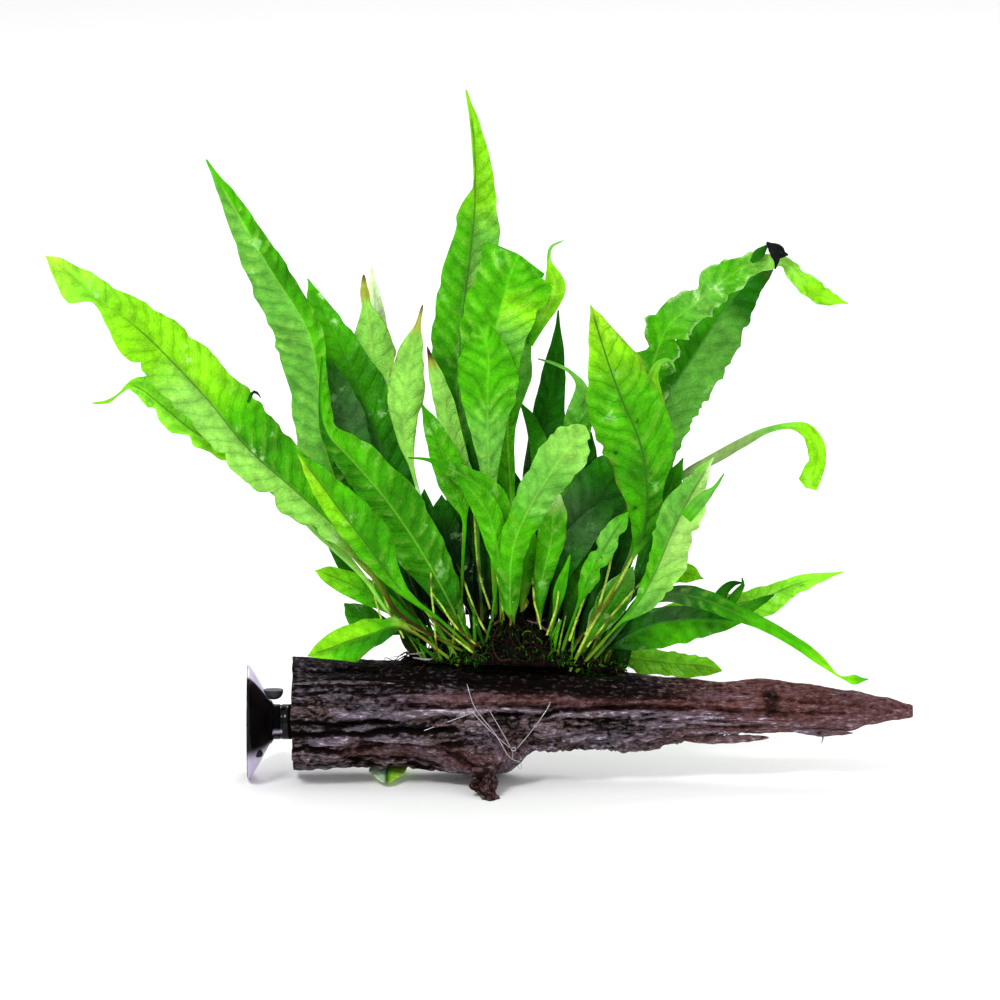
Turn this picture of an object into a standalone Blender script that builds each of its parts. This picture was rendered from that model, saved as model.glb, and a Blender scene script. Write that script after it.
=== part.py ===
"""A java fern tied to a piece of driftwood, with a suction cup plugged into the sawn end of the wood.

Everything is laid out in a plane that leans back from upright: x to the right, height up the plane,
depth away from the front. The plane turns about the axis of the wood, which lies level along X.
All the layout numbers are in millimetres in that plane, and an empty carries them into the world.
"""

import math

import bmesh
import bpy
from mathutils import Matrix, Vector

MM = 0.001
LEAN_DEG = 13.0
AXIS_HEIGHT = 23.5          # axis of the wood above the surface that the whole thing rests on
SET_BACK = -22.8            # moves everything along Y, so that the outer box is centred
TOUCH_GAP = 0.35            # between solids that touch in the real thing

# The wood: distance from its axis to the top, to the underside and to front and back, along its length
LOG_START = -66.0
LOG_END = 151.0
LOG_STATIONS = 30
LOG_SIDES = 36
LOG_TOP = [(-66, 19.6), (-53, 19.2), (-28, 18.2), (-4, 17.5), (27, 16.8), (48, 14.0), (70, 12.2),
           (84, 10.8), (98, 12.0), (112, 10.2), (129, 7.7), (141, 5.2), (151, 2.1)]
LOG_UNDER = [(-66, 20.3), (-50, 19.3), (-30, 18.6), (-11, 21.2), (0, 22.0), (7, 21.6), (12, 18.6),
             (18, 12.9), (45, 12.9), (55, 13.3), (64, 11.6), (76, 9.0), (90, 7.4), (129, 6.6),
             (136, 4.5), (145, 2.8), (151, 0.9)]
LOG_DEPTH = [(-66, 20.0), (-4, 19.2), (20, 17.0), (50, 12.8), (100, 8.4), (130, 6.0), (151, 2.0)]
CRACK_ANGLE = 172.0         # the long crack in the front, measured round the axis from the back
CRACK_DEPTH = 1.6
BURL_ANGLE = 303.0          # a swelling under the back that the wood rests on
BURL_X = 1.0
BURL_RISE = 5.2

# The broken side branch under the front, which starts on a flat seat on the wood
FORK_ANGLE = 230.0
FORK_DISTANCE = 20.9
STUB_X = -0.8
STUB_REACH = 21.0
STUB_TURN = 0.2
STUB_RADII = [(0.0, 6.2), (0.25, 4.8), (0.42, 4.1), (0.62, 4.9), (0.85, 4.2), (1.0, 2.6)]
STUB_SIDES = 12

# The suction cup, turned about the length of the wood, with a plug in a drilled hole
CUP_RIM_X = -82.0
CUP_RADIUS = 20.0
CUP_PROFILE = [(0, 25.0), (2.6, 25.0), (3.0, 24.4), (3.0, 15.6), (6.2, 15.6), (6.2, 9.4), (7.3, 8.8),
               (7.6, 8.0), (13.0, 5.2), (18.8, 1.7), (20.0, 0.7), (20.0, 0), (17.0, 0), (13.0, 1.7),
               (7.0, 3.7), (0, 4.4)]
CUP_STEPS = 28
HOLE_RADIUS = 3.4
HOLE_DEPTH = 10.5

# The root mound, a lump that clasps the top of the wood
MOUND_FIRST_RING = 5
MOUND_LAST_RING = 16
MOUND_HALF_TURN = 60.0      # how far round the wood it reaches from the top, in its middle
MOUND_NARROWING = 0.45      # how much less far it reaches round at its ends
MOUND_PEAK_X = 13.0
MOUND_PEAK = 15.0
MOUND_SPREAD = 18.0
MOUND_LOW = 3.2
MOUND_EDGE = 1.1
MOUND_GAP = 0.65
STALK_CLEARANCE = 1.1       # from the mound to the middle of a stalk where it starts
ROOT_REACH = 12.0           # how far a stalk is run straight back to look for the mound

BLADE_THICKNESS = 0.8
STALK_THICKNESS = 1.7
STALK_WIDTH = 1.7           # a leaf this narrow or less is a stalk, and is thicker
TIE_THICKNESS = 0.6

BRIGHT = (0.24, 0.62, 0.02, 1)
MIDDLE = (0.08, 0.40, 0.02, 1)
DARK = (0.015, 0.15, 0.015, 1)
PALE = (0.30, 0.60, 0.18, 1)

# Each leaf: its midrib from root to tip as (x, height), the half widths to the left and right of it at
# the same points, the depth where it starts, how much it leans back for each millimetre along it, the
# extra depth at the tip, and the slopes of the two halves, positive where the edge lies further back.
LEAVES = {
    "leaf_long_left": dict(
        path=[(-6, 21), (-28, 34), (-37, 48), (-46, 60), (-63, 76), (-81, 92), (-95, 109),
              (-112, 127), (-122, 136), (-132, 143), (-141, 151), (-147, 156), (-150.6, 158.5)],
        left=[1, 1, 2, 4, 8.5, 9, 9.5, 10.5, 9, 3, 8, 5, 1],
        right=[1, 1, 2.5, 5, 11, 13, 12.5, 10.5, 8.5, 6.5, 5.5, 3, 1],
        start=-12, lean=-0.26, curl=10, slopes=(-0.15, 0.3), colour=BRIGHT),
    "leaf_pale_left": dict(
        path=[(-9, 24), (-30, 33), (-42, 46), (-58, 60), (-72, 72), (-88, 87), (-100, 98),
              (-113, 107), (-124, 109.5), (-129, 107.5), (-135, 108)],
        left=[1, 1, 1.5, 4, 6, 5, 7, 7, 4, 1, 0.6],
        right=[1, 1, 1.5, 4, 6, 6, 7, 7, 4, 1, 0.6],
        start=-10, lean=-0.17, curl=6, slopes=(0.2, 0.2), colour=PALE),
    "leaf_bright_left": dict(
        path=[(-1, 20), (-14, 32), (-28, 43), (-40, 59), (-50, 72), (-58, 83), (-63.5, 90)],
        left=[1, 1, 2, 5, 5, 3, 0.6],
        right=[1, 1, 2.5, 9, 7.5, 4, 0.6],
        start=-14, lean=-0.36, curl=0, slopes=(0.1, 0.25), colour=BRIGHT),
    "leaf_tall_left": dict(
        path=[(-18, 25), (-40, 58), (-54, 90), (-56.5, 116), (-63.5, 134), (-77, 155), (-86, 174),
              (-96, 193)],
        left=[1, 5, 9, 11, 10.5, 6, 3.5, 0.6],
        right=[1, 5, 9, 11, 11, 8.5, 4.5, 0.6],
        start=-4, lean=-0.04, curl=-6, slopes=(0.45, 0.3), colour=MIDDLE),
    "leaf_dark_left": dict(
        path=[(-14, 27), (-24, 55), (-31, 80), (-38, 100), (-47, 122), (-56, 141), (-59, 150)],
        left=[1, 3, 8, 10, 8, 4, 0.6],
        right=[1, 3, 8, 10.5, 8, 3.5, 0.6],
        start=3, lean=0.12, curl=0, slopes=(-0.1, 0.2), colour=DARK),
    "leaf_shaded_left": dict(
        path=[(-16, 24), (-30, 62), (-43, 90), (-47, 103), (-52, 116), (-56, 125)],
        left=[1, 2, 5.5, 6, 4.5, 0.6],
        right=[1, 2, 5.5, 6, 4.5, 0.6],
        start=0, lean=0.03, curl=0, slopes=(0.0, 0.0), colour=DARK),
    "leaf_broad_left": dict(
        path=[(-5, 26), (-13, 42), (-22, 58), (-33, 74), (-45, 88), (-53, 97), (-56, 108), (-55.5, 124)],
        left=[1, 5, 9, 8, 5.5, 3, 1.2, 0.5],
        right=[1, 6, 9, 10, 8, 4, 1.5, 0.5],
        start=-6, lean=-0.18, curl=0, slopes=(0.2, 0.2), colour=MIDDLE),
    "leaf_low_left": dict(
        path=[(-20, 30), (-30, 36), (-42, 43), (-52, 47.5), (-58, 49.5)],
        left=[1, 2.5, 4.5, 3.5, 1],
        right=[1, 2.5, 4.5, 3.5, 1],
        start=-8, lean=-0.14, curl=0, slopes=(0.1, 0.1), colour=BRIGHT),
    "leaf_small_left": dict(
        path=[(-22, 27), (-34, 30), (-42, 33), (-48, 38)],
        left=[1, 3, 5, 1], right=[1, 3, 5, 1],
        start=-1.8, lean=0.0, curl=0, slopes=(0.1, -0.1), colour=DARK),
    "leaf_narrow_left": dict(
        path=[(-19, 28), (-38, 40), (-47, 50), (-52, 60), (-56, 67)],
        left=[1, 1.5, 2.5, 2.5, 0.6], right=[1, 1.5, 2.5, 2.5, 0.6],
        start=5, lean=0.04, curl=0, slopes=(0.0, 0.0), colour=DARK),
    "leaf_front_left": dict(
        path=[(-14, 21), (-22, 27), (-30, 30), (-38, 27.5), (-46, 25), (-54, 22), (-60.5, 20)],
        left=[1, 1, 3.5, 5.5, 7, 3.5, 1],
        right=[1, 1, 3.5, 5.5, 5.5, 4, 1],
        start=-12.8, lean=-0.2, curl=0, slopes=(-0.1, 0.4), colour=BRIGHT),
    "leaf_pale_back": dict(
        path=[(-12, 30), (-22, 60), (-32, 88), (-37, 106), (-38.5, 120), (-39, 131), (-41, 142),
              (-41, 152)],
        left=[1, 1.2, 4, 6, 7, 8, 2.5, 1], right=[1, 1.2, 4, 6, 7, 8.5, 3.5, 1],
        start=8, lean=0.18, curl=0, slopes=(0.1, 0.1), colour=PALE),
    "leaf_faint_back": dict(
        path=[(-14, 29), (-24, 62), (-32, 92), (-36, 112), (-36.5, 130), (-38, 146), (-39, 157)],
        left=[1, 1.2, 4, 5, 4, 2.5, 0.6], right=[1, 1.2, 4, 5, 4, 2.5, 0.6],
        start=12, lean=0.26, curl=0, slopes=(0.1, 0.1), colour=PALE),
    "leaf_pale_pointed": dict(
        path=[(-10, 31), (-16, 60), (-25, 84), (-26, 97), (-26, 110), (-24, 124), (-21.5, 135),
              (-21, 142)],
        left=[1, 1.2, 3, 3.5, 7, 5, 2, 0.7], right=[1, 1.2, 3.5, 4.5, 6.5, 3.5, 1.5, 0.7],
        start=-1, lean=0.03, curl=0, slopes=(0.1, 0.1), colour=PALE),
    "leaf_bright_narrow": dict(
        path=[(-7.5, 32), (-6.5, 52), (-6, 68), (-10, 79), (-14, 90), (-18, 101), (-21, 108)],
        left=[1, 1, 1.5, 4.5, 4, 2.5, 0.6], right=[1, 1, 1.5, 6, 6, 3, 0.6],
        start=-4, lean=-0.07, curl=0, slopes=(0.1, 0.1), colour=BRIGHT),
    "leaf_pale_narrow": dict(
        path=[(0, 38), (-1, 56), (-2.5, 74), (-9, 91), (-13, 108), (-17, 121), (-19, 128)],
        left=[1, 1, 1.5, 4, 3.5, 2, 0.6], right=[1, 1, 1.5, 4, 3.5, 2, 0.6],
        start=1, lean=0.02, curl=0, slopes=(0.1, 0.1), colour=PALE),
    "leaf_inner_left": dict(
        path=[(-3, 33), (-8, 50), (-13, 64), (-14, 76)],
        left=[1, 5, 6, 1], right=[1, 5, 6, 1],
        start=3, lean=0.05, curl=0, slopes=(0.0, 0.0), colour=DARK),
    "leaf_tallest": dict(
        path=[(-4, 35), (-7, 60), (-9, 82), (-8, 102), (-7, 123), (-5.4, 144), (-2.6, 162),
              (-0.5, 179), (-1.2, 197), (-5.4, 218.5)],
        left=[1, 1.5, 5, 7, 10, 9, 8.5, 6.5, 3.5, 0.6],
        right=[1, 1.5, 5, 7, 7, 8, 8, 5, 3, 0.6],
        start=6, lean=0.13, curl=-6, slopes=(0.45, 0.4), colour=MIDDLE),
    "leaf_front_centre": dict(
        path=[(5, 37), (4, 60), (2, 81), (2, 99), (0.5, 116), (-1, 134), (0, 150), (1.5, 166)],
        left=[1, 1.5, 3, 5, 8, 5.5, 3, 0.6], right=[1, 1.5, 3, 6, 9.5, 9, 6, 0.6],
        start=-3, lean=-0.05, curl=0, slopes=(0.15, 0.15), colour=BRIGHT),
    "leaf_folded_centre": dict(
        path=[(10, 37), (11, 60), (10, 80), (9, 100), (9.5, 118), (9, 136), (10.5, 150), (12.5, 159.5)],
        left=[1, 1.5, 4, 5, 9, 10, 10, 9.5], right=[1, 1.5, 4, 5.5, 9, 9, 14, 10],
        start=2, lean=0.02, curl=4, slopes=(0.15, 0.1), colour=MIDDLE),
    "leaf_dark_centre": dict(
        path=[(16, 36), (17, 58), (17, 76), (20, 95), (24, 112), (26.5, 128), (27, 141)],
        left=[1, 1.5, 5, 6, 4.5, 2.5, 0.6], right=[1, 1.5, 6, 9, 5.5, 2.5, 0.6],
        start=10, lean=0.14, curl=0, slopes=(0.1, 0.1), colour=DARK),
    "leaf_middle_centre": dict(
        path=[(18, 35), (20, 60), (21, 80), (17, 98), (13.5, 109)],
        left=[1, 2, 4.5, 4.5, 0.6], right=[1, 2, 4.5, 4.5, 0.6],
        start=7, lean=0.06, curl=0, slopes=(0.1, 0.1), colour=DARK),
    "leaf_inner_centre": dict(
        path=[(9, 37), (9, 56), (9.5, 74), (8, 90)],
        left=[1, 4, 6, 1], right=[1, 4, 6, 1],
        start=7, lean=0.05, curl=0, slopes=(0.0, 0.0), colour=DARK),
    "leaf_tendril": dict(
        path=[(24, 33), (28, 60), (31, 84), (34, 102), (35, 113), (31, 119), (26, 123), (20.5, 124)],
        left=[1, 1.2, 3, 5, 2.2, 0.9, 0.6, 0.5], right=[1, 1.2, 3, 5, 2.2, 0.9, 0.6, 0.5],
        start=4, lean=0.03, curl=0, slopes=(0.0, 0.0), colour=MIDDLE),
    "leaf_bright_right": dict(
        path=[(34, 21), (41, 35), (47, 45), (53, 55), (57, 66), (57.5, 81), (55, 95), (49, 109),
              (43.5, 124), (38, 142)],
        left=[1, 1, 1, 1.5, 5, 10, 13, 12.5, 6.5, 0.6],
        right=[1, 1, 1, 1.5, 4, 7, 12.5, 13, 9.5, 0.6],
        start=-13, lean=-0.16, curl=6, slopes=(0.12, 0.12), colour=BRIGHT),
    "leaf_curl_right": dict(
        path=[(44, 27), (54, 62), (60, 86), (61, 105), (60, 116), (62, 122), (66, 123), (68, 119)],
        left=[1, 1.2, 4, 4.5, 3.5, 2, 1.2, 0.5], right=[1, 1.2, 4, 4.5, 3.5, 2, 1.2, 0.5],
        start=3, lean=-0.06, curl=0, slopes=(0.0, 0.0), colour=BRIGHT),
    "leaf_upper_right": dict(
        path=[(38, 27), (48, 56), (57, 84), (64, 107), (76, 127), (90, 147), (99, 156), (104, 160)],
        left=[1, 2, 6, 7, 8, 6, 3, 1], right=[1, 2, 8, 11.5, 12.5, 8, 4, 1],
        start=4, lean=0.17, curl=0, slopes=(0.3, 0.35), colour=DARK),
    "leaf_wavy_right": dict(
        path=[(35, 28), (46, 60), (54, 88), (58, 107), (60, 121), (65.5, 135), (75, 143), (84.5, 151),
              (94, 156.5), (105, 157.5), (111.5, 152), (119, 146), (128.5, 143)],
        left=[1, 1.5, 4, 6, 7, 7.5, 6.5, 6, 4, 2.5, 3.5, 3.5, 0.6],
        right=[1, 1.5, 4, 6, 7, 7.5, 6.5, 6, 4, 2.5, 3.5, 3.5, 0.6],
        start=1, lean=0.05, curl=-4, slopes=(0.1, 0.0), colour=PALE),
    "leaf_ribbon_right": dict(
        path=[(40, 26), (52, 55), (62, 76), (69, 84), (80, 88.5), (90.5, 95), (101, 100),
              (111, 101.5), (118, 98), (119.5, 90), (116, 81), (110, 78)],
        left=[1, 1, 1.5, 2, 2.2, 2.5, 2.3, 2.2, 2.4, 2.6, 2.6, 1],
        right=[1, 1, 1.5, 2, 2.2, 2.5, 2.3, 2.2, 2.4, 2.6, 2.6, 1],
        start=-1.5, lean=-0.02, curl=-8, slopes=(0.1, 0.1), colour=BRIGHT),
    "leaf_torn_right": dict(
        path=[(40, 22), (48, 31), (55, 39), (61, 50), (66, 62), (73, 73), (78, 81), (81, 85)],
        left=[1, 1, 2, 3.5, 5.5, 7, 5.5, 3], right=[1, 1, 5, 9, 8, 7.5, 5.5, 3],
        start=-11, lean=-0.3, curl=0, slopes=(0.1, 0.2), colour=BRIGHT),
    "leaf_strip_right": dict(
        path=[(41, 28), (53, 46), (59, 60), (64, 73), (67.5, 82), (70.5, 89)],
        left=[1, 1.5, 3, 4, 3, 0.6], right=[1, 1.5, 3, 4, 3, 0.6],
        start=-4.5, lean=-0.08, curl=0, slopes=(0.0, 0.0), colour=DARK),
    "leaf_shaded_right": dict(
        path=[(26, 31), (30, 50), (34, 65), (42, 77), (48, 86), (52, 93)],
        left=[1, 5, 9, 10, 7, 1], right=[1, 5, 9, 10, 7, 1],
        start=-1, lean=0.0, curl=0, slopes=(0.1, 0.1), colour=DARK),
    "leaf_shaded_middle": dict(
        path=[(23, 29), (28, 48), (34, 60), (41, 68), (47, 73)],
        left=[1, 3, 5, 4, 1], right=[1, 3, 5, 4, 1],
        start=-6, lean=-0.08, curl=0, slopes=(0.0, 0.0), colour=DARK),
    "leaf_root_right": dict(
        path=[(36, 23), (42, 33), (48, 42), (53, 51)],
        left=[1, 4.5, 5, 1], right=[1, 4.5, 5, 1],
        start=-9, lean=-0.06, curl=0, slopes=(0.1, 0.1), colour=MIDDLE),
    "leaf_small_front": dict(
        path=[(29, 24), (35, 38), (38, 47), (43, 58), (48, 66), (50, 71)],
        left=[1, 1, 4.5, 4.5, 4, 1.5], right=[1, 1, 4.5, 4.5, 4, 1.5],
        start=-14, lean=-0.34, curl=0, slopes=(0.2, 0.2), colour=BRIGHT),
    "leaf_dark_low_right": dict(
        path=[(44, 22), (52, 27), (62, 31), (74, 32.5), (84, 32), (92, 31.5)],
        left=[1, 3.5, 5.5, 4.5, 3, 0.6], right=[1, 6, 8.5, 7.5, 4, 0.6],
        start=-2, lean=0.0, curl=0, slopes=(0.1, -0.1), colour=DARK),
    "leaf_ribbon_low_right": dict(
        path=[(45, 25), (54, 35), (64, 41), (76, 40), (90, 34), (101, 29), (112, 23), (121, 16.5),
              (127, 12.5), (134, 11.5)],
        left=[1, 1, 2.5, 4, 4.5, 3.5, 3.2, 2, 2.2, 0.6],
        right=[1, 1, 2.5, 4, 4.5, 3.5, 3.2, 2, 2.2, 0.6],
        start=-8, lean=-0.12, curl=0, slopes=(0.2, -0.1), colour=MIDDLE),
    "leaf_bright_low_right": dict(
        path=[(45, 23), (60, 33), (76, 37), (88, 37.5), (99, 40), (110, 44.5), (119, 47), (127, 49)],
        left=[1, 2, 3.5, 4, 4, 3, 2, 0.6], right=[1, 2, 3.5, 5, 6.5, 3.5, 2, 0.6],
        start=6.5, lean=0.08, curl=0, slopes=(0.1, -0.1), colour=BRIGHT),
    "leaf_tip_low_right": dict(
        path=[(42, 22), (56, 41), (66, 47), (72, 48.5), (78, 46.5)],
        left=[1, 1.2, 2.5, 3.5, 0.6], right=[1, 1.2, 2.5, 3.5, 0.6],
        start=10, lean=0.16, curl=0, slopes=(0.0, 0.0), colour=BRIGHT),
    "leaf_low_right": dict(
        path=[(38, 19), (48, 19.5), (56, 19), (66, 17), (76, 15), (83.5, 13)],
        left=[1, 2, 3, 3.5, 3, 0.6], right=[1, 2, 3.5, 4, 3, 0.6],
        start=13, lean=0.02, curl=0, slopes=(0.2, -0.2), colour=BRIGHT),
    "leaf_blunt_front": dict(
        path=[(11, 31), (10, 40), (11, 57), (16.5, 71), (25, 85), (31, 93), (36, 100)],
        left=[1.2, 4, 6, 7.5, 8, 7.5, 4], right=[1.2, 4, 6, 7.5, 8, 7.5, 4],
        start=-13, lean=-0.3, curl=0, slopes=(0.2, 0.2), colour=BRIGHT),
    "leaf_cut_front": dict(
        path=[(20, 31), (21, 45), (24, 58), (25, 68), (24, 77)],
        left=[1.2, 3, 4.5, 5, 3.5], right=[1.2, 3, 4.5, 5, 3.5],
        start=-9, lean=-0.12, curl=0, slopes=(0.1, 0.1), colour=BRIGHT),
    "leaf_thin_left_centre": dict(
        path=[(4, 34), (6, 52), (6.5, 68), (3, 76), (-7, 83), (-18, 88), (-25.5, 89)],
        left=[1, 1.5, 4, 5, 3.5, 1.2, 0.5], right=[1, 1.5, 4, 5, 3.5, 1.2, 0.5],
        start=-8, lean=-0.1, curl=0, slopes=(0.1, 0.1), colour=MIDDLE),
    "leaf_thin_centre": dict(
        path=[(7, 32), (7, 48), (5, 60), (2, 70), (-4, 78), (-9, 82)],
        left=[1, 2, 4, 4.5, 3, 0.6], right=[1, 2, 4, 4.5, 3, 0.6],
        start=-11, lean=-0.16, curl=0, slopes=(0.1, 0.1), colour=BRIGHT),
    "leaf_young_one": dict(
        path=[(14, 34), (15, 48), (17, 60), (17.5, 66)],
        left=[1, 3, 2.5, 0.6], right=[1, 3, 2.5, 0.6],
        start=-7, lean=-0.02, curl=0, slopes=(0.0, 0.0), colour=MIDDLE),
    "leaf_young_two": dict(
        path=[(25, 31), (27.5, 43), (31, 55)],
        left=[1, 3, 0.8], right=[1, 3, 0.8],
        start=-12, lean=-0.15, curl=0, slopes=(0.0, 0.0), colour=MIDDLE),
}


def blend(table, x):
    """Value at x of a table of (x, value) rows, eased between them."""
    if x <= table[0][0]:
        return table[0][1]
    for (x0, a), (x1, b) in zip(table, table[1:]):
        if x <= x1:
            t = (x - x0) / (x1 - x0)
            return a + (b - a) * t * t * (3 - 2 * t)
    return table[-1][1]


def turn_between(angle, other):
    """Smallest turn in degrees from one angle to another."""
    return (angle - other + 180) % 360 - 180


def log_radius(x, angle):
    """Distance from the axis to the bark. Angle 0 is the back, 90 the top, 180 the front, 270 below."""
    across = math.cos(math.radians(angle))
    up = math.sin(math.radians(angle))
    height = blend(LOG_TOP if up > 0 else LOG_UNDER, x)
    radius = math.hypot(blend(LOG_DEPTH, x) * across, height * up)
    turn = math.radians(angle)
    ridges = 0.5 * math.sin(6 * turn + 0.05 * x) + 0.4 * math.sin(9 * turn - 0.04 * x + 1.0)
    knots = 0.35 * math.sin(0.33 * x + 2 * turn)
    radius += (ridges + knots) * min(1.0, radius / 18) * abs(across) ** 0.5
    crack = math.exp(-(turn_between(angle, CRACK_ANGLE) / 7) ** 2)
    along = math.exp(-((x - 40) / 38) ** 4)
    radius -= CRACK_DEPTH * crack * along
    burl = math.exp(-(turn_between(angle, BURL_ANGLE) / 15) ** 2 - ((x - BURL_X) / 9) ** 2)
    return radius + BURL_RISE * burl


def mound_place(share):
    """Distance along the wood at a share of the way along the root mound."""
    step = (LOG_END - LOG_START) / LOG_STATIONS
    return LOG_START + step * (MOUND_FIRST_RING + (MOUND_LAST_RING - MOUND_FIRST_RING) * share)


def mound_taper(x):
    """0 in the middle of the root mound, rising to 1 at its ends."""
    first, last = mound_place(0), mound_place(1)
    return min(1.0, abs(2 * (x - first) / (last - first) - 1) ** 4)


def mound_radius(x, angle):
    """Distance from the axis of the wood to the top of the root mound."""
    taper = mound_taper(x)
    rise = MOUND_LOW * (1 - taper) + MOUND_PEAK * math.exp(-((x - MOUND_PEAK_X) / MOUND_SPREAD) ** 2)
    reach = MOUND_HALF_TURN * (1 - MOUND_NARROWING * taper) + 4
    round_it = math.cos(math.radians(min(90.0, abs(turn_between(angle, 90)) * 90 / reach)))
    lumps = 0.6 * math.sin(0.9 * x + 5 * math.radians(angle))
    rise = (rise + lumps) * max(0.0, round_it) ** 0.8
    return log_radius(x, angle) + MOUND_GAP + max(MOUND_EDGE, rise)


def on_axis(x, angle, radius):
    """A point of the leaning layout, in metres, from its place along and round the axis of the wood."""
    turn = math.radians(angle)
    return Vector((x, radius * math.cos(turn), radius * math.sin(turn))) * MM


def material(name, colour, roughness):
    made = bpy.data.materials.new(name)
    made.use_nodes = True
    shader = made.node_tree.nodes["Principled BSDF"]
    shader.inputs["Base Color"].default_value = colour
    shader.inputs["Roughness"].default_value = roughness
    return made


def collection(name):
    made = bpy.data.collections.new(name)
    bpy.context.scene.collection.children.link(made)
    return made


def new_object(name, mesh, group, parent=None):
    made = bpy.data.objects.new(name, mesh)
    group.objects.link(made)
    made.parent = parent
    return made


def finish_mesh(name, bm, look):
    """Turns a bmesh into a mesh with smooth faces and one material."""
    bmesh.ops.recalc_face_normals(bm, faces=bm.faces)
    mesh = bpy.data.meshes.new(name)
    bm.to_mesh(mesh)
    bm.free()
    mesh.materials.append(look)
    mesh.shade_smooth()
    mesh.set_sharp_from_angle(angle=math.radians(40))
    return mesh


def cut_flat(bm, point, normal):
    """Cuts away what lies beyond a plane and closes the cut with a flat face."""
    everything = bm.verts[:] + bm.edges[:] + bm.faces[:]
    cut = bmesh.ops.bisect_plane(bm, geom=everything, plane_co=point, plane_no=normal, clear_outer=True)
    edges = [item for item in cut["geom_cut"] if isinstance(item, bmesh.types.BMEdge)]
    if edges:
        bmesh.ops.edgeloop_fill(bm, edges=edges)


def floor_plane():
    """The surface that everything rests on, as a point and a downward normal of the leaning layout."""
    lean = math.radians(LEAN_DEG)
    down = Vector((0, math.sin(lean), -math.cos(lean)))
    return down * AXIS_HEIGHT * MM, down


def fork_plane(gap):
    """The flat seat of the side branch on the wood, moved out by a gap."""
    turn = math.radians(FORK_ANGLE)
    outward = Vector((0, math.cos(turn), math.sin(turn)))
    return outward * (FORK_DISTANCE + gap) * MM, outward


def build_log(group, cutters, layout):
    """The driftwood: a round bar cut into rings, then pushed out to the bark."""
    length = LOG_END - LOG_START
    bm = bmesh.new()
    bmesh.ops.create_cone(bm, segments=LOG_SIDES, radius1=MM, radius2=MM, depth=length * MM,
                          cap_ends=True, matrix=Matrix.Rotation(math.radians(90), 4, "Y"))
    bmesh.ops.translate(bm, vec=Vector(((LOG_START + LOG_END) / 2 * MM, 0, 0)), verts=bm.verts)
    for ring in range(1, LOG_STATIONS):
        place = Vector(((LOG_START + length * ring / LOG_STATIONS) * MM, 0, 0))
        everything = bm.verts[:] + bm.edges[:] + bm.faces[:]
        bmesh.ops.bisect_plane(bm, geom=everything, plane_co=place, plane_no=Vector((1, 0, 0)))
    for vert in bm.verts:
        x = vert.co.x / MM
        angle = math.degrees(math.atan2(vert.co.z, vert.co.y)) % 360
        vert.co = on_axis(x, angle, log_radius(x, angle))
    cut_flat(bm, *fork_plane(0))
    cut_flat(bm, *floor_plane())
    log = new_object("driftwood_log", finish_mesh("driftwood_log", bm, WOOD), group, layout)

    bm = bmesh.new()
    bmesh.ops.create_cone(bm, segments=16, radius1=HOLE_RADIUS * MM, radius2=HOLE_RADIUS * MM,
                          depth=2 * HOLE_DEPTH * MM, cap_ends=True)
    drill = new_object("drill", finish_mesh("drill", bm, WOOD), cutters)
    drill.rotation_euler.y = math.radians(90)
    drill.location = (LOG_START * MM, SET_BACK * MM, CUP_RADIUS * MM)
    drill.hide_render = True
    drill.display_type = "WIRE"
    hole = log.modifiers.new("hole", "BOOLEAN")
    hole.operation = "DIFFERENCE"
    hole.solver = "EXACT"
    hole.object = drill
    return log


def build_stub(group, layout):
    """The broken side branch that the wood stands on, from its flat seat down to the floor."""
    seat, outward = fork_plane(TOUCH_GAP)
    start = seat + Vector((STUB_X * MM, 0, 0))
    along = (outward + Vector((STUB_TURN, 0, 0))).normalized()
    bm = bmesh.new()
    turn_to = along.to_track_quat("Z", "Y").to_matrix().to_4x4()
    reach = STUB_REACH * MM
    bmesh.ops.create_cone(bm, segments=STUB_SIDES, radius1=MM, radius2=MM, depth=reach, cap_ends=True,
                          matrix=Matrix.Translation(start + along * reach / 2) @ turn_to)
    for share, _radius in STUB_RADII[1:-1]:
        everything = bm.verts[:] + bm.edges[:] + bm.faces[:]
        bmesh.ops.bisect_plane(bm, geom=everything, plane_co=start + along * reach * share,
                               plane_no=along)
    for vert in bm.verts:
        share = (vert.co - start).dot(along) / reach
        middle = start + along * reach * share
        out = (vert.co - middle).normalized()
        turn = math.atan2(out.dot(turn_to.col[0].xyz), out.dot(turn_to.col[1].xyz))
        rough = 1 + 0.10 * math.sin(3 * turn + 6 * share) + 0.06 * math.sin(5 * turn - 9 * share)
        vert.co = middle + out * blend(STUB_RADII, share) * rough * MM
    cut_flat(bm, seat, -outward)
    cut_flat(bm, *floor_plane())
    return new_object("driftwood_stub", finish_mesh("driftwood_stub", bm, WOOD), group, layout)


def build_cup(group):
    """The suction cup with its neck and its plug, as one turned rubber piece."""
    mesh = bpy.data.meshes.new("suction_cup")
    points = [(radius * MM, 0, height * MM) for radius, height in CUP_PROFILE]
    mesh.from_pydata(points, [(i, i + 1) for i in range(len(points) - 1)], [])
    mesh.materials.append(RUBBER)
    cup = new_object("suction_cup", mesh, group)
    cup.rotation_euler.y = math.radians(90)
    cup.location = (CUP_RIM_X * MM, SET_BACK * MM, CUP_RADIUS * MM)
    turned = cup.modifiers.new("turned", "SCREW")
    turned.steps = CUP_STEPS
    turned.render_steps = CUP_STEPS
    turned.use_merge_vertices = True
    turned.merge_threshold = 0.00005
    return cup


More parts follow.
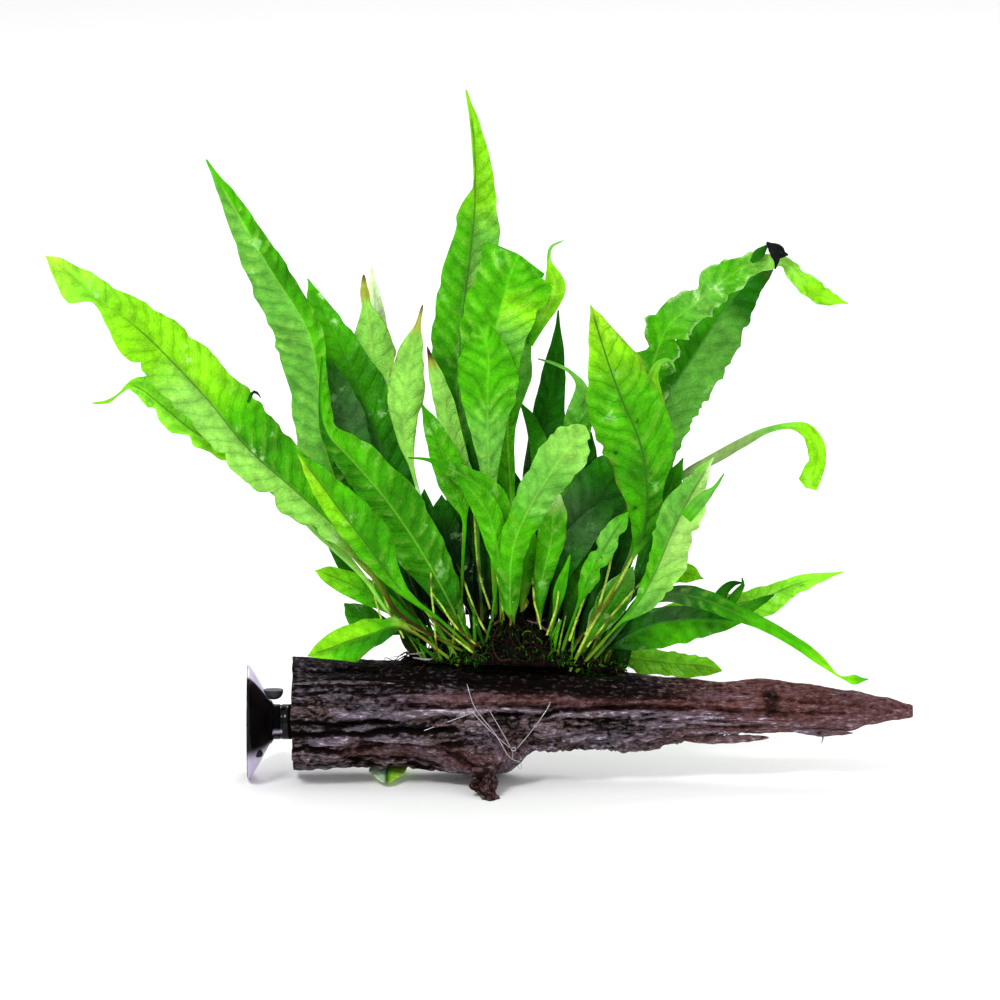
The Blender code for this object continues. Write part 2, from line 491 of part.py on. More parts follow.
def build_mound(group, layout):
    """The root mound: an upper and a lower sheet on the rings of the wood, joined at their rims."""
    rings = MOUND_LAST_RING - MOUND_FIRST_RING
    sides = round(2 * MOUND_HALF_TURN / (360 / LOG_SIDES))
    bm = bmesh.new()
    for top in (True, False):
        grid = bmesh.ops.create_grid(bm, x_segments=rings, y_segments=sides, size=0.5)
        for vert in grid["verts"]:
            x = mound_place(vert.co.x + 0.5)
            reach = MOUND_HALF_TURN * (1 - MOUND_NARROWING * mound_taper(x))
            angle = 90 + 2 * reach * vert.co.y
            radius = mound_radius(x, angle) if top else log_radius(x, angle) + MOUND_GAP
            vert.co = on_axis(x, angle, radius)
    rims = [edge for edge in bm.edges if edge.is_boundary]
    bmesh.ops.bridge_loops(bm, edges=rims)
    return new_object("root_mound", finish_mesh("root_mound", bm, ROOT), group, layout)


def smooth_path(points, share):
    """A point at a share of the way along a smooth line through hand-set points, as a tuple."""
    last = len(points) - 1
    place = min(max(share, 0.0), 1.0) * last
    index = min(int(place), last - 1)
    t = place - index
    p1, p2 = points[index], points[index + 1]
    p0 = points[index - 1] if index else tuple(2 * a - b for a, b in zip(p1, p2))
    p3 = points[index + 2] if index + 2 <= last else tuple(2 * b - a for a, b in zip(p1, p2))
    return tuple(
        0.5 * (2 * b + (c - a) * t + (2 * a - 5 * b + 4 * c - d) * t * t + (3 * b - a - 3 * c + d) * t ** 3)
        for a, b, c, d in zip(p0, p1, p2, p3))


def rooted(leaf):
    """The leaf with its stalk run straight back, so that it comes out of the root mound."""
    (x0, h0), (x1, h1) = leaf["path"][:2]
    back = ROOT_REACH / math.hypot(x1 - x0, h1 - h0)
    foot = (x0 + (x0 - x1) * back, h0 + (h0 - h1) * back)
    longer = {side: [leaf[side][0]] + leaf[side] for side in ("left", "right")}
    start = leaf["start"] - leaf["lean"] * ROOT_REACH
    return dict(leaf, path=[foot] + leaf["path"], start=start, **longer)


def leaf_surface(leaf):
    """Returns a function that gives a point of the leaf from its share along and its side, -1 to 1."""
    path = leaf["path"]
    steps = 300
    walked = [0.0]
    for i in range(steps):
        walked.append(walked[-1] + math.dist(smooth_path(path, i / steps), smooth_path(path, (i + 1) / steps)))
    total = walked[-1]

    def centre(share):
        x, height = smooth_path(path, share)
        gone = walked[round(min(max(share, 0), 1) * steps)]
        depth = leaf["start"] + leaf["lean"] * gone + leaf["curl"] * (gone / total) ** 2
        return x, depth, height

    def point(share, side):
        x, depth, height = centre(share)
        before, after = smooth_path(path, share - 0.01), smooth_path(path, share + 0.01)
        dx, dh = after[0] - before[0], after[1] - before[1]
        size = math.hypot(dx, dh)
        widths = leaf["left"] if side < 0 else leaf["right"]
        slope = leaf["slopes"][0 if side < 0 else 1]
        width = max(0.45, smooth_path([(w,) for w in widths], share)[0]) * side
        return Vector((x + width * dh / size, depth + abs(width) * slope, height - width * dx / size))

    def out_of_mound():
        for i in range(steps // 3, 0, -1):
            for side in (-1, 0, 1):
                x, depth, height = point(i / steps, side)
                angle = math.degrees(math.atan2(height, depth))
                if math.hypot(depth, height) < mound_radius(x, angle) + STALK_CLEARANCE:
                    return (i + 1) / steps
        return 0.0

    return point, out_of_mound(), total


def build_sheet(name, place, count, look, group, layout):
    """A thin closed blade from a grid of three points across, thickened where place says it is a stalk."""
    bm = bmesh.new()
    bmesh.ops.create_grid(bm, x_segments=2, y_segments=count, size=0.5)
    thick = {}
    for vert in bm.verts:
        side, share = vert.co.x * 2, vert.co.y + 0.5
        spot, stalk = place(share, side)
        vert.co = spot * MM
        thick[vert.index] = 1.0 if stalk else BLADE_THICKNESS / STALK_THICKNESS
    mesh = finish_mesh(name, bm, look)
    blade = new_object(name, mesh, group, layout)
    body = blade.vertex_groups.new(name="thickness")
    for index, weight in thick.items():
        body.add([index], weight, "REPLACE")
    solid = blade.modifiers.new("thickness", "SOLIDIFY")
    solid.thickness = STALK_THICKNESS * MM
    solid.offset = 0
    solid.vertex_group = body.name
    return blade


def build_leaf(name, leaf, group, layout):
    """A leaf with its stalk, which starts just above the root mound."""
    point, first, total = leaf_surface(rooted(leaf))

    def place(share, side):
        share = first + (1 - first) * share
        spot = point(share, side)
        stalk = (point(share, 1) - point(share, -1)).length < 2 * STALK_WIDTH and share < 0.5
        return spot, stalk

    count = max(5, min(14, round((1 - first) * total / 10)))
    look = LEAF_LOOKS[leaf["colour"]]
    return build_sheet(name, place, count, look, group, layout)


def build_under_leaf(group, layout):
    """The leaf that hangs down the back of the wood and comes out under it at the front."""
    turns = [(-21, 24, 2.4), (-24, 0, 2.0), (-28, -30, 2.0), (-31, -62, 2.0), (-33, -90, 2.2)]
    path = [tuple(on_axis(x, angle, log_radius(x, angle) + lift) / MM) for x, angle, lift in turns]
    path.append((-33, -9.5, -24.6))
    widths = [(1.2,), (1.4,), (4.0,), (6.0,), (6.0,), (1.5,)]

    def place(share, side):
        width = max(0.5, smooth_path(widths, share)[0])
        spot = Vector(smooth_path(path, share)) + Vector((width * side, 0, 0))
        return spot, width < STALK_WIDTH and share < 0.5

    return build_sheet("leaf_under_log", place, 9, LEAF_LOOKS[MIDDLE], group, layout)


def build_tie(group, layout):
    """The clear line that ties the roots on: down the front to a knot, then under and up the back."""
    turns = [(-5, 156), (-3, 170), (0, 184), (5, 200), (9, 216), (13, 232), (14, 246), (14, 262),
             (14, 280), (13, 298), (12, 316), (11, 334), (10, 352), (9, 370), (9, 384)]
    curve = bpy.data.curves.new("tie_line", "CURVE")
    curve.dimensions = "3D"
    curve.bevel_depth = TIE_THICKNESS / 2 * MM
    curve.bevel_resolution = 1
    curve.use_fill_caps = True
    curve.materials.append(LINE)
    spline = curve.splines.new("POLY")
    count = 36
    spline.points.add(count - 1)
    for i in range(count):
        x, angle = smooth_path(turns, i / (count - 1))
        radius = max(log_radius(x + along, angle + round_it) for along in (-4, 0, 4) for round_it in (-5, 0, 5))
        spline.points[i].co = (*on_axis(x, angle, radius + TIE_THICKNESS / 2 + TOUCH_GAP), 1)
    return new_object("tie_line", curve, group, layout)


for old in list(bpy.data.objects):
    bpy.data.objects.remove(old)

WOOD = material("wet_driftwood", (0.035, 0.018, 0.014, 1), 0.55)
ROOT = material("dark_roots", (0.012, 0.008, 0.006, 1), 0.7)
RUBBER = material("black_rubber", (0.01, 0.01, 0.012, 1), 0.15)
LINE = material("clear_line", (0.8, 0.8, 0.82, 1), 0.2)
LEAF_LOOKS = {
    BRIGHT: material("bright_leaf", BRIGHT, 0.35),
    MIDDLE: material("middle_leaf", MIDDLE, 0.35),
    DARK: material("dark_leaf", DARK, 0.4),
    PALE: material("pale_leaf", PALE, 0.45),
}

fern = collection("java_fern_on_driftwood")
cutters = collection("cutters")
layout = bpy.data.objects.new("leaning_layout", None)
fern.objects.link(layout)
layout.location = (0, SET_BACK * MM, AXIS_HEIGHT * MM)
layout.rotation_euler.x = -math.radians(LEAN_DEG)

build_log(fern, cutters, layout)
build_stub(fern, layout)
build_cup(fern)
build_mound(fern, layout)
build_tie(fern, layout)
build_under_leaf(fern, layout)
for leaf_name, leaf in LEAVES.items():
    build_leaf(leaf_name, leaf, fern, layout)
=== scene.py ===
# A java fern tied on a piece of driftwood with a suction cup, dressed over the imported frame
import math

import bpy
import numpy as np
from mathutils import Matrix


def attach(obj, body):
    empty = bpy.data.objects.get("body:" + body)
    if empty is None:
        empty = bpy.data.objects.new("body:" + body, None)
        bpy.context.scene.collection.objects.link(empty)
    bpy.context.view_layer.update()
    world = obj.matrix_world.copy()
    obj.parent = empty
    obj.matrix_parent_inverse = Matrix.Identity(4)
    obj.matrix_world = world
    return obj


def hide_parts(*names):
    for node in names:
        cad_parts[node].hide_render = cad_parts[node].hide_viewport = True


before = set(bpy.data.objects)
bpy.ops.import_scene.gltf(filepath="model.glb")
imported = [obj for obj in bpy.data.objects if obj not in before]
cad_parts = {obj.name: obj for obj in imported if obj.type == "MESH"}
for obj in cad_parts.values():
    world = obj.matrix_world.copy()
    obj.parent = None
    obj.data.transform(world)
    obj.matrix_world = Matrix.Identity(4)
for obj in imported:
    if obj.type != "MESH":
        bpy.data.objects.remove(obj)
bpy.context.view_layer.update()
mm = 0.001

# The plant is laid out in a plane that leans back: x, depth away from the front, height, all in mm
layout = dict(
    lean=math.radians(13),
    axisHeight=23.5,    # axis of the wood above the surface
    setBack=-22.8,      # and how far in front of the middle it lies
)


def toWorld(points):
    cosine, sine = math.cos(layout["lean"]), math.sin(layout["lean"])
    x, depth, height = points[..., 0], points[..., 1], points[..., 2]
    y = layout["setBack"] + depth * cosine + height * sine
    z = layout["axisHeight"] + height * cosine - depth * sine
    return np.stack((x, y, np.maximum(z, 0)), -1) * mm


def smoothPath(points, shares):
    # a smooth line through given points, at shares from 0 to 1 along it
    p = np.array(points, float).reshape(len(points), -1)
    last = len(p) - 1
    place = np.clip(shares, 0, 1) * last
    i = np.minimum(place.astype(int), last - 1)
    t = (place - i)[:, None]
    p = np.vstack((2 * p[0] - p[1], p, 2 * p[-1] - p[-2]))
    a, b, c, d = p[i], p[i + 1], p[i + 2], p[i + 3]
    curve = (2 * a - 5 * b + 4 * c - d) * t ** 2 + (3 * b - a - 3 * c + d) * t ** 3
    return 0.5 * (2 * b + (c - a) * t + curve)


def smoothStep(low, high, value):
    t = np.clip((value - low) / (high - low), 0, 1)
    return t * t * (3 - 2 * t)


def between(value, low, full, fading, gone):
    # rises from low to full and falls from fading to gone
    return smoothStep(low, full, value) * (1 - smoothStep(fading, gone, value))


def hump(apart, width, power=2):
    # 1 where apart is 0, less away from it
    return np.exp(-(apart / width) ** power)


def blend(table, x):
    # eased value of a table of (x, value) rows
    table = np.array(table, float)
    i = np.clip(np.searchsorted(table[:, 0], x) - 1, 0, len(table) - 2)
    return table[i, 1] + (table[i + 1, 1] - table[i, 1]) * smoothStep(table[i, 0], table[i + 1, 0], x)


noiseTables = {}


def noise(u, v, seed, wrap=512):
    # smooth values from 0 to 1; v comes round again after wrap cells
    u, v = np.broadcast_arrays(np.asarray(u, float), np.asarray(v, float))
    if (seed, wrap) not in noiseTables:
        noiseTables[seed, wrap] = np.random.RandomState(seed).rand(512, wrap)
    table = noiseTables[seed, wrap]
    iu, iv = np.floor(u).astype(int), np.floor(v).astype(int)
    fu, fv = smoothStep(0, 1, u - iu), smoothStep(0, 1, v - iv)
    rows, nextRows = iu % 512, (iu + 1) % 512
    columns, nextColumns = iv % wrap, (iv + 1) % wrap
    low = table[rows, columns] * (1 - fu) + table[nextRows, columns] * fu
    high = table[rows, nextColumns] * (1 - fu) + table[nextRows, nextColumns] * fu
    return low * (1 - fv) + high * fv


def crested(value):
    # turns the middle of a noise into sharp crests
    return 1 - np.abs(2 * value - 1)


def rowsOf(*values):
    # one row of numbers for each point
    return np.stack(np.broadcast_arrays(*values), -1).reshape(-1, len(values))


def walkAlong(line):
    # distance walked at each point of a line
    return np.concatenate(((0,), np.cumsum(np.linalg.norm(np.diff(line, axis=0), axis=1))))


def gridFaces(rows, columns, closed=False, first=0):
    # quads of a grid of points; closed joins the last column to the first
    i = np.arange(rows - 1)[:, None]
    j = np.arange(columns if closed else columns - 1)[None, :]
    k = (j + 1) % columns
    a, b = i * columns + j, i * columns + k
    return np.stack((a, b, b + columns, a + columns), -1).reshape(-1, 4) + first


def tubeFaces(rows, sides, nearCap=True):
    # quads round a tube with a cap on its ends
    caps = [tuple(range(sides))[::-1]] if nearCap else []
    caps.append(tuple(range((rows - 1) * sides, rows * sides)))
    return [tuple(face) for face in gridFaces(rows, sides, closed=True)] + caps


def tube(points, radii, sides=5):
    # a round closed tube along points
    points = np.asarray(points, float)
    radii = np.broadcast_to(np.asarray(radii, float), (len(points),))
    along = np.gradient(points, axis=0)
    along /= np.linalg.norm(along, axis=1)[:, None] + 1e-9
    helper = np.where(np.abs(along[:, 1:2]) < 0.8, [[0, 1.0, 0]], [[0, 0, 1.0]])
    side = np.cross(along, helper)
    side /= np.linalg.norm(side, axis=1)[:, None] + 1e-9
    up = np.cross(side, along)
    turn = np.linspace(0, 2 * math.pi, sides, endpoint=False)
    ring = side[:, None] * np.cos(turn)[None, :, None] + up[:, None] * np.sin(turn)[None, :, None]
    verts = (points[:, None] + ring * radii[:, None, None]).reshape(-1, 3)
    return verts, tubeFaces(len(points), sides)


def addPiece(name, parts, look, node, inWorld=False, sharpDeg=None):
    # one object that stands for a node; parts are (verts, faces, {attribute: one row for each vert})
    verts, faces, extra, first = [], [], {}, 0
    for partVerts, partFaces, partExtra in parts:
        verts.append(partVerts)
        faces += [tuple(int(i) + first for i in face) for face in partFaces]
        for key, rows in partExtra.items():
            extra.setdefault(key, []).append(np.broadcast_to(rows, (len(partVerts), np.shape(rows)[-1])))
        first += len(partVerts)
    verts = np.vstack(verts)
    mesh = bpy.data.meshes.new(name)
    mesh.from_pydata((verts if inWorld else toWorld(verts)).tolist(), [], faces)
    for key, rows in extra.items():
        rows = np.ascontiguousarray(np.vstack(rows), dtype=np.float32)
        kind, field = ("FLOAT_COLOR", "color") if rows.shape[1] == 4 else ("FLOAT_VECTOR", "vector")
        mesh.attributes.new(key, kind, "POINT").data.foreach_set(field, rows.ravel())
    mesh.materials.append(look)
    mesh.shade_smooth()
    mesh.validate()
    mesh.update()
    piece = bpy.data.objects.new(name, mesh)
    bpy.context.scene.collection.objects.link(piece)
    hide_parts(node)
    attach(piece, "root")
    if sharpDeg:
        mesh.set_sharp_from_angle(angle=math.radians(sharpDeg))     # sharper edges stay crisp


socketNames = dict(
    colour="Base Color", roughness="Roughness", normal="Normal", specular="Specular IOR Level",
    coat="Coat Weight", coatRoughness="Coat Roughness",
)


def startMaterial(name, roughness):
    # a material with a call that adds a node and one that fills the shader's own sockets
    look = bpy.data.materials.new(name)
    look.use_nodes = True
    nodes, links = look.node_tree.nodes, look.node_tree.links

    def fill(socket, value):
        if isinstance(value, bpy.types.NodeSocket):
            links.new(value, socket)
        else:
            socket.default_value = value

    def add(kind, output=0, inputs=(), **settings):
        node = nodes.new("ShaderNode" + kind)
        for key, value in settings.items():
            setattr(node, key, value)
        for key, value in dict(inputs).items():
            fill(node.inputs[key], value)
        return node.outputs[output]

    def put(**values):
        for key, value in values.items():
            fill(nodes["Principled BSDF"].inputs[socketNames[key]], value)

    put(roughness=roughness)
    return look, add, put


def mixColour(add, factor, a, b, kind="MIX"):
    a, b = [(*c, 1) if isinstance(c, tuple) and len(c) == 3 else c for c in (a, b)]
    return add("Mix", 2, {0: factor, 6: a, 7: b}, data_type="RGBA", blend_type=kind)


def layered(add, colour, *layers):
    # lays (how much, colour) pairs over a colour, one after another
    for factor, over in layers:
        colour = mixColour(add, factor, colour, over)
    return colour


def remap(add, value, low, high, start=0.0, end=1.0, **settings):
    # start and end of a value become low and high
    ranges = {"Value": value, "From Min": start, "From Max": end, "To Min": low, "To Max": high}
    return add("MapRange", 0, ranges, **settings)


def ease(add, value, start, end):
    # 0 below start, 1 above end
    return remap(add, value, 0.0, 1.0, start, end, interpolation_type="SMOOTHSTEP")


def calc(add, operation, a, b=0.0):
    return add("Math", 0, {0: a, 1: b}, operation=operation)


def times(add, *values):
    product = values[0]
    for value in values[1:]:
        product = calc(add, "MULTIPLY", product, value)
    return product


def weighed(add, *terms):
    # (value, weight) pairs added up
    total = 0.0
    for value, weight in terms:
        total = calc(add, "ADD", total, calc(add, "MULTIPLY", value, weight))
    return total


def mottled(add, colour, pattern, low, high):
    # a colour made darker and brighter by a pattern
    bright = remap(add, pattern, low, high, 0.3, 0.7)
    return mixColour(add, 1.0, colour, add("CombineColor", 0, {0: bright, 1: bright, 2: bright}), "MULTIPLY")


def bumpFrom(add, height, strength, distance):
    return add("Bump", 0, {"Height": height, "Strength": strength, "Distance": distance})


def numbersOf(add, name):
    # the three numbers of an attribute
    vector = add("Attribute", 1, attribute_name=name)
    return [add("SeparateXYZ", i, {0: vector}) for i in range(3)]


def grainNoise(add, scale, detail=4.0, roughness=0.6):
    # noise on the object's own coordinates, in metres, with one scale or one for each axis
    stretch, size = (scale, 1.0) if isinstance(scale, tuple) else ((1, 1, 1), scale)
    mapped = add("Mapping", 0, {"Vector": add("TexCoord", 3), "Scale": stretch})
    return add("TexNoise", 0, {"Vector": mapped, "Scale": size, "Detail": detail, "Roughness": roughness})


print("camera and light")
studio = dict(
    middle=(6.5, 0.0, 74.2),                    # layout point at the middle of the picture
    distance=5.0, width=0.350,                  # metres from it, and across the picture
    world=0.74, sensor=36, aim=(0, 0, 0.1),
    lamps=dict(                                 # place, size, power
        key=((-0.55, -0.9, 1.15), 0.4, 13.0), fill=((0.9, -1.0, 0.6), 1.0, 3.0),
        back=((0.2, 0.9, 1.1), 0.6, 8.0)),
    floorColour=(0.965, 0.965, 0.97, 1), floorReach=30.0, floorDrop=-0.0002,
)


def addStudio():
    scene = bpy.context.scene
    target, lean, distance = toWorld(np.array(studio["middle"])), layout["lean"], studio["distance"]
    camera = bpy.data.objects.new("camera", bpy.data.cameras.new("camera"))
    scene.collection.objects.link(camera)
    camera.data.sensor_width = studio["sensor"]
    camera.data.lens = studio["sensor"] * distance / studio["width"]
    camera.data.clip_end = 60
    camera.location = target + np.array((0, -distance * math.cos(lean), distance * math.sin(lean)))
    camera.rotation_euler = (math.radians(90) - lean, 0, 0)
    scene.camera = camera

    world = bpy.data.worlds.new("pale_room")
    scene.world = world
    world.use_nodes = True
    world.node_tree.nodes["Background"].inputs["Color"].default_value = (1, 1, 1, 1)
    world.node_tree.nodes["Background"].inputs["Strength"].default_value = studio["world"]
    for name, (place, size, power) in studio["lamps"].items():
        light = bpy.data.objects.new(name, bpy.data.lights.new(name, "AREA"))
        light.data.energy, light.data.shape, light.data.size = power, "DISK", size
        light.location = place
        toward = bpy.data.objects.new(name + "_aim", None)
        toward.location = studio["aim"]
        light.constraints.new("TRACK_TO").target = toward
        scene.collection.objects.link(toward)
        scene.collection.objects.link(light)

    mesh, reach = bpy.data.meshes.new("pale_floor"), studio["floorReach"]
    corners = [(-reach, -reach, 0), (reach, -reach, 0), (reach, reach, 0), (-reach, reach, 0)]
    mesh.from_pydata(corners, [], [(0, 1, 2, 3)])
    floor = bpy.data.objects.new("pale_floor", mesh)
    floor.location.z = studio["floorDrop"]
    look, _, put = startMaterial("pale_floor", 0.7)
    put(colour=studio["floorColour"])
    mesh.materials.append(look)
    scene.collection.objects.link(floor)
    scene.view_settings.view_transform = "Standard"


addStudio()

print("driftwood")
wood = dict(
    start=-66.0, end=151.0, stations=330, sides=230, sawnRings=22,
    # distance from the axis to the top, to the underside and to front and back, along the length
    top=[(-66, 19.6), (-53, 19.2), (-28, 18.2), (-4, 17.5), (27, 16.8), (48, 14.0), (70, 12.2),
         (84, 10.8), (98, 12.0), (112, 10.2), (129, 7.7), (141, 5.4), (150, 2.9), (151, 2.3)],
    under=[(-66, 20.3), (-50, 19.3), (-30, 18.6), (-11, 21.2), (0, 22.0), (7, 21.6), (12, 18.6),
           (18, 12.9), (45, 12.9), (55, 13.3), (64, 11.6), (76, 9.0), (90, 7.4), (129, 6.6),
           (136, 4.5), (145, 2.9), (150, 2.2), (151, 1.6)],
    deep=[(-66, 20.0), (-4, 19.2), (20, 17.0), (50, 12.8), (100, 8.4), (130, 6.0), (151, 2.0)],
    swellings=[(303, 1.0, 15, 9, 5.2), (227, -0.5, 16, 9.5, 9.0)],    # angle, x, reach of both, height
    hole=dict(radius=3.45, depth=10.4, shift=0.787, height=-3.41),    # drilled in the sawn end for the cup
    # cracks as (x, angle) lines with their depth and width in mm; angle 90 is the top and 180 the front
    cracks=[
        ([(-66, 206), (-58, 204), (-40, 202), (-21, 199), (-10, 197)], 2.0, 0.9),
        ([(2, 178), (12, 181), (22, 182), (30, 178), (41, 173), (58, 171), (76, 169), (92, 180)], 2.0, 0.8),
        ([(70, 196), (84, 212), (98, 222)], 1.6, 0.7),
        ([(-66, 220), (-56, 222), (-46, 226), (-30, 222)], 1.5, 0.8),
        ([(-14, 222), (-4, 226), (6, 232)], 1.4, 1.6),
        ([(-66, 161), (-50, 159), (-30, 160), (-8, 157)], 1.1, 0.6),
        ([(-50, 142), (-28, 140), (0, 143), (22, 141)], 1.0, 0.6),
        ([(-64, 128), (-44, 126), (-20, 129)], 0.9, 0.5),
        ([(24, 196), (44, 200), (62, 207)], 0.4, 0.6),
        ([(96, 140), (116, 152), (138, 160)], 0.9, 0.5),
        ([(-66, 190), (-52, 193), (-40, 188), (-30, 191)], 1.5, 0.8),
        ([(-44, 214), (-30, 218), (-18, 215), (-6, 208)], 1.6, 0.9),
        ([(-28, 172), (-10, 173), (8, 171), (30, 170)], 1.0, 0.6),
        ([(26, 187), (40, 191), (56, 192), (68, 189)], 0.7, 0.6),
        ([(-62, 238), (-44, 241), (-24, 243), (-12, 240)], 1.3, 0.8),
        ([(84, 174), (104, 178), (126, 182)], 1.2, 0.6),
        ([(60, 152), (78, 156), (96, 152)], 0.9, 0.5),
        ([(-60, 250), (-30, 256), (4, 262)], 1.5, 0.9),
        ([(10, 300), (40, 312), (80, 318)], 1.5, 0.9),
        ([(-62, 334), (-30, 340), (10, 332), (50, 338)], 1.7, 0.8),
        ([(-50, 8), (-10, 14), (30, 6), (80, 12), (120, 4)], 1.4, 0.7),
        ([(-66, 52), (-40, 48), (-12, 54)], 1.2, 0.6),
    ],
    # raised lines in the same way, which catch the light and are also painted lighter
    ridges=[
        ([(-34, 186), (-20, 181), (-6, 179), (10, 178), (28, 184), (46, 186)], 1.1, 1.2),
        ([(-60, 213), (-48, 214), (-32, 212), (-14, 213)], 1.0, 1.1),
        ([(-66, 176), (-52, 180), (-40, 190)], 0.8, 1.3),
        ([(60, 188), (78, 192), (96, 200)], 0.8, 0.9),
    ],
    # routes as (x, depth, height) with a thickness
    splinters=[
        ([(66, -3.5, -8.8), (80, -4.0, -9.6), (92, -3.4, -9.2), (100.5, -2.4, -8.9)], 1.5),
        ([(108, -3.0, -6.0), (118, -3.5, -7.2), (130, -2.5, -7.3)], 1.2),
        ([(118, -4.4, -6.0), (119.4, -5.0, -8.6), (118.8, -5.2, -11.0)], 0.25),
        ([(-66, -17.2, 10.0), (-50, -18.2, 10.6), (-30, -18.0, 10.2)], 0.7),
        ([(60, -10.6, -2.0), (76, -9.4, -3.4), (90, -8.0, -4.6)], 0.8),
        ([(20, 15.2, 3.0), (46, 12.6, 4.6), (70, 10.4, 5.4)], 0.9),
        ([(-58, 17.0, -9.0), (-36, 17.2, -9.8), (-12, 17.0, -9.4)], 0.9),
    ],
)


def turnBetween(angle, other):
    return (angle - other + 180) % 360 - 180


def facing(angle, other, width):
    # 1 at an angle round the wood, less away from it
    return hump(turnBetween(angle, other), width)


def onAxis(x, angle, radius):
    # the point at an angle and a distance from the wood's axis
    turn = np.radians(angle)
    return np.stack((x + 0 * radius, radius * np.cos(turn), radius * np.sin(turn)), -1)


def woodRadius(x, angle):
    # distance from the axis to the bark before its fine relief
    turn = np.radians(angle)
    across, up = np.cos(turn), np.sin(turn)
    height = np.where(up > 0, blend(wood["top"], x), blend(wood["under"], x))
    radius = np.hypot(blend(wood["deep"], x) * across, height * up)
    lumps = 0.5 * np.sin(6 * turn + 0.05 * x) + 0.4 * np.sin(9 * turn - 0.04 * x + 1.0)
    lumps += 0.35 * np.sin(0.33 * x + 2 * turn)
    radius = radius + lumps * np.minimum(1.0, radius / 18) * np.sqrt(np.abs(across))
    radius -= 1.6 * facing(angle, 172, 7) * hump(x - 40, 38, 4)
    for middle, at, turnReach, reach, rise in wood["swellings"]:
        radius += rise * facing(angle, middle, turnReach) * hump(x - at, reach)
    return radius


def lineRelief(lines, x, angle, radius):
    # how strongly each point lies on any of the lines, in mm
    total = np.zeros_like(x)
    for number, (points, depth, width) in enumerate(lines):
        xs, angles = np.array(points, float).T
        middle = np.interp(x, xs, angles) + 5 * (noise(x / 7, number, 41 + number) - 0.5)
        apart = np.radians(turnBetween(angle, middle)) * radius
        ends = between(x, xs[0] - 4, xs[0] + 4, xs[-1] - 4, xs[-1] + 4)
        total += depth * ends * hump(apart, width) * (0.55 + 0.9 * noise(x / 4, 0, 71 + number))
    return total


def barkRelief(x, angle, radius):
    # fine relief of the bark in mm, with how raised, rough and ridged each point is; raised also carries
    # painted light and shade
    cells = angle / 360
    sway = 0.9 * (noise(x / 19, cells * 8, 3, 8) - 0.5) / 10
    rough = between(angle, 168, 182, 250, 290)                      # the front, below its ridge
    rough = np.clip(rough + 0.45 * smoothStep(280, 320, angle) + 0.3 * (angle < 40), 0, 1)
    rough = rough * (1 - 0.5 * smoothStep(80, 110, x))
    plates = noise(x / 11, (cells + sway) * 34, 5, 34) - 0.5
    plates += 0.5 * (noise(x / 5, (cells + sway) * 62, 6, 62) - 0.5)
    grain = crested(noise(x / 26, (cells + 0.6 * sway) * 74, 7, 74))
    fine = crested(noise(x / 15, (cells + sway) * 140, 8, 140))
    small = noise(x / 1.6, cells * 96, 9, 96) - 0.5
    steps = plates + 0.5 * (noise(x / 3.4, (cells + sway) * 88, 10, 88) - 0.5)
    steps = steps + 0.35 * np.sin(9 * steps + 1.0) / 3              # flakes with steeper edges
    relief = rough * (3.0 * steps + 0.9 * small) + 0.35 * small * (1 - rough)
    relief -= (0.8 - 0.1 * rough) * grain ** 5 + 0.45 * fine ** 4
    crumbly = between(angle, 218, 240, 290, 305) * between(x, 10, 20, 88, 104)      # below, right of the stub
    crumbs = noise(x / 2.6, cells * 60, 12, 60) - 0.5 + 0.7 * (noise(x / 1.3, cells * 104, 13, 104) - 0.5)
    relief += 2.2 * crumbly * crumbs
    deep, high = [lineRelief(wood[kind], x, angle, radius) for kind in ("cracks", "ridges")]
    relief += high - deep
    # painted light and shade: raised bark and ridges lighter, cracks darker
    raised = smoothStep(-0.1, 1.15, relief) - 1.1 * np.clip(deep, 0, 1) + 0.6 * np.clip(high, 0, 1)
    return (relief - 0.15) * np.clip(radius / 13, 0.15, 1), raised, rough, np.clip(high, 0, 1)


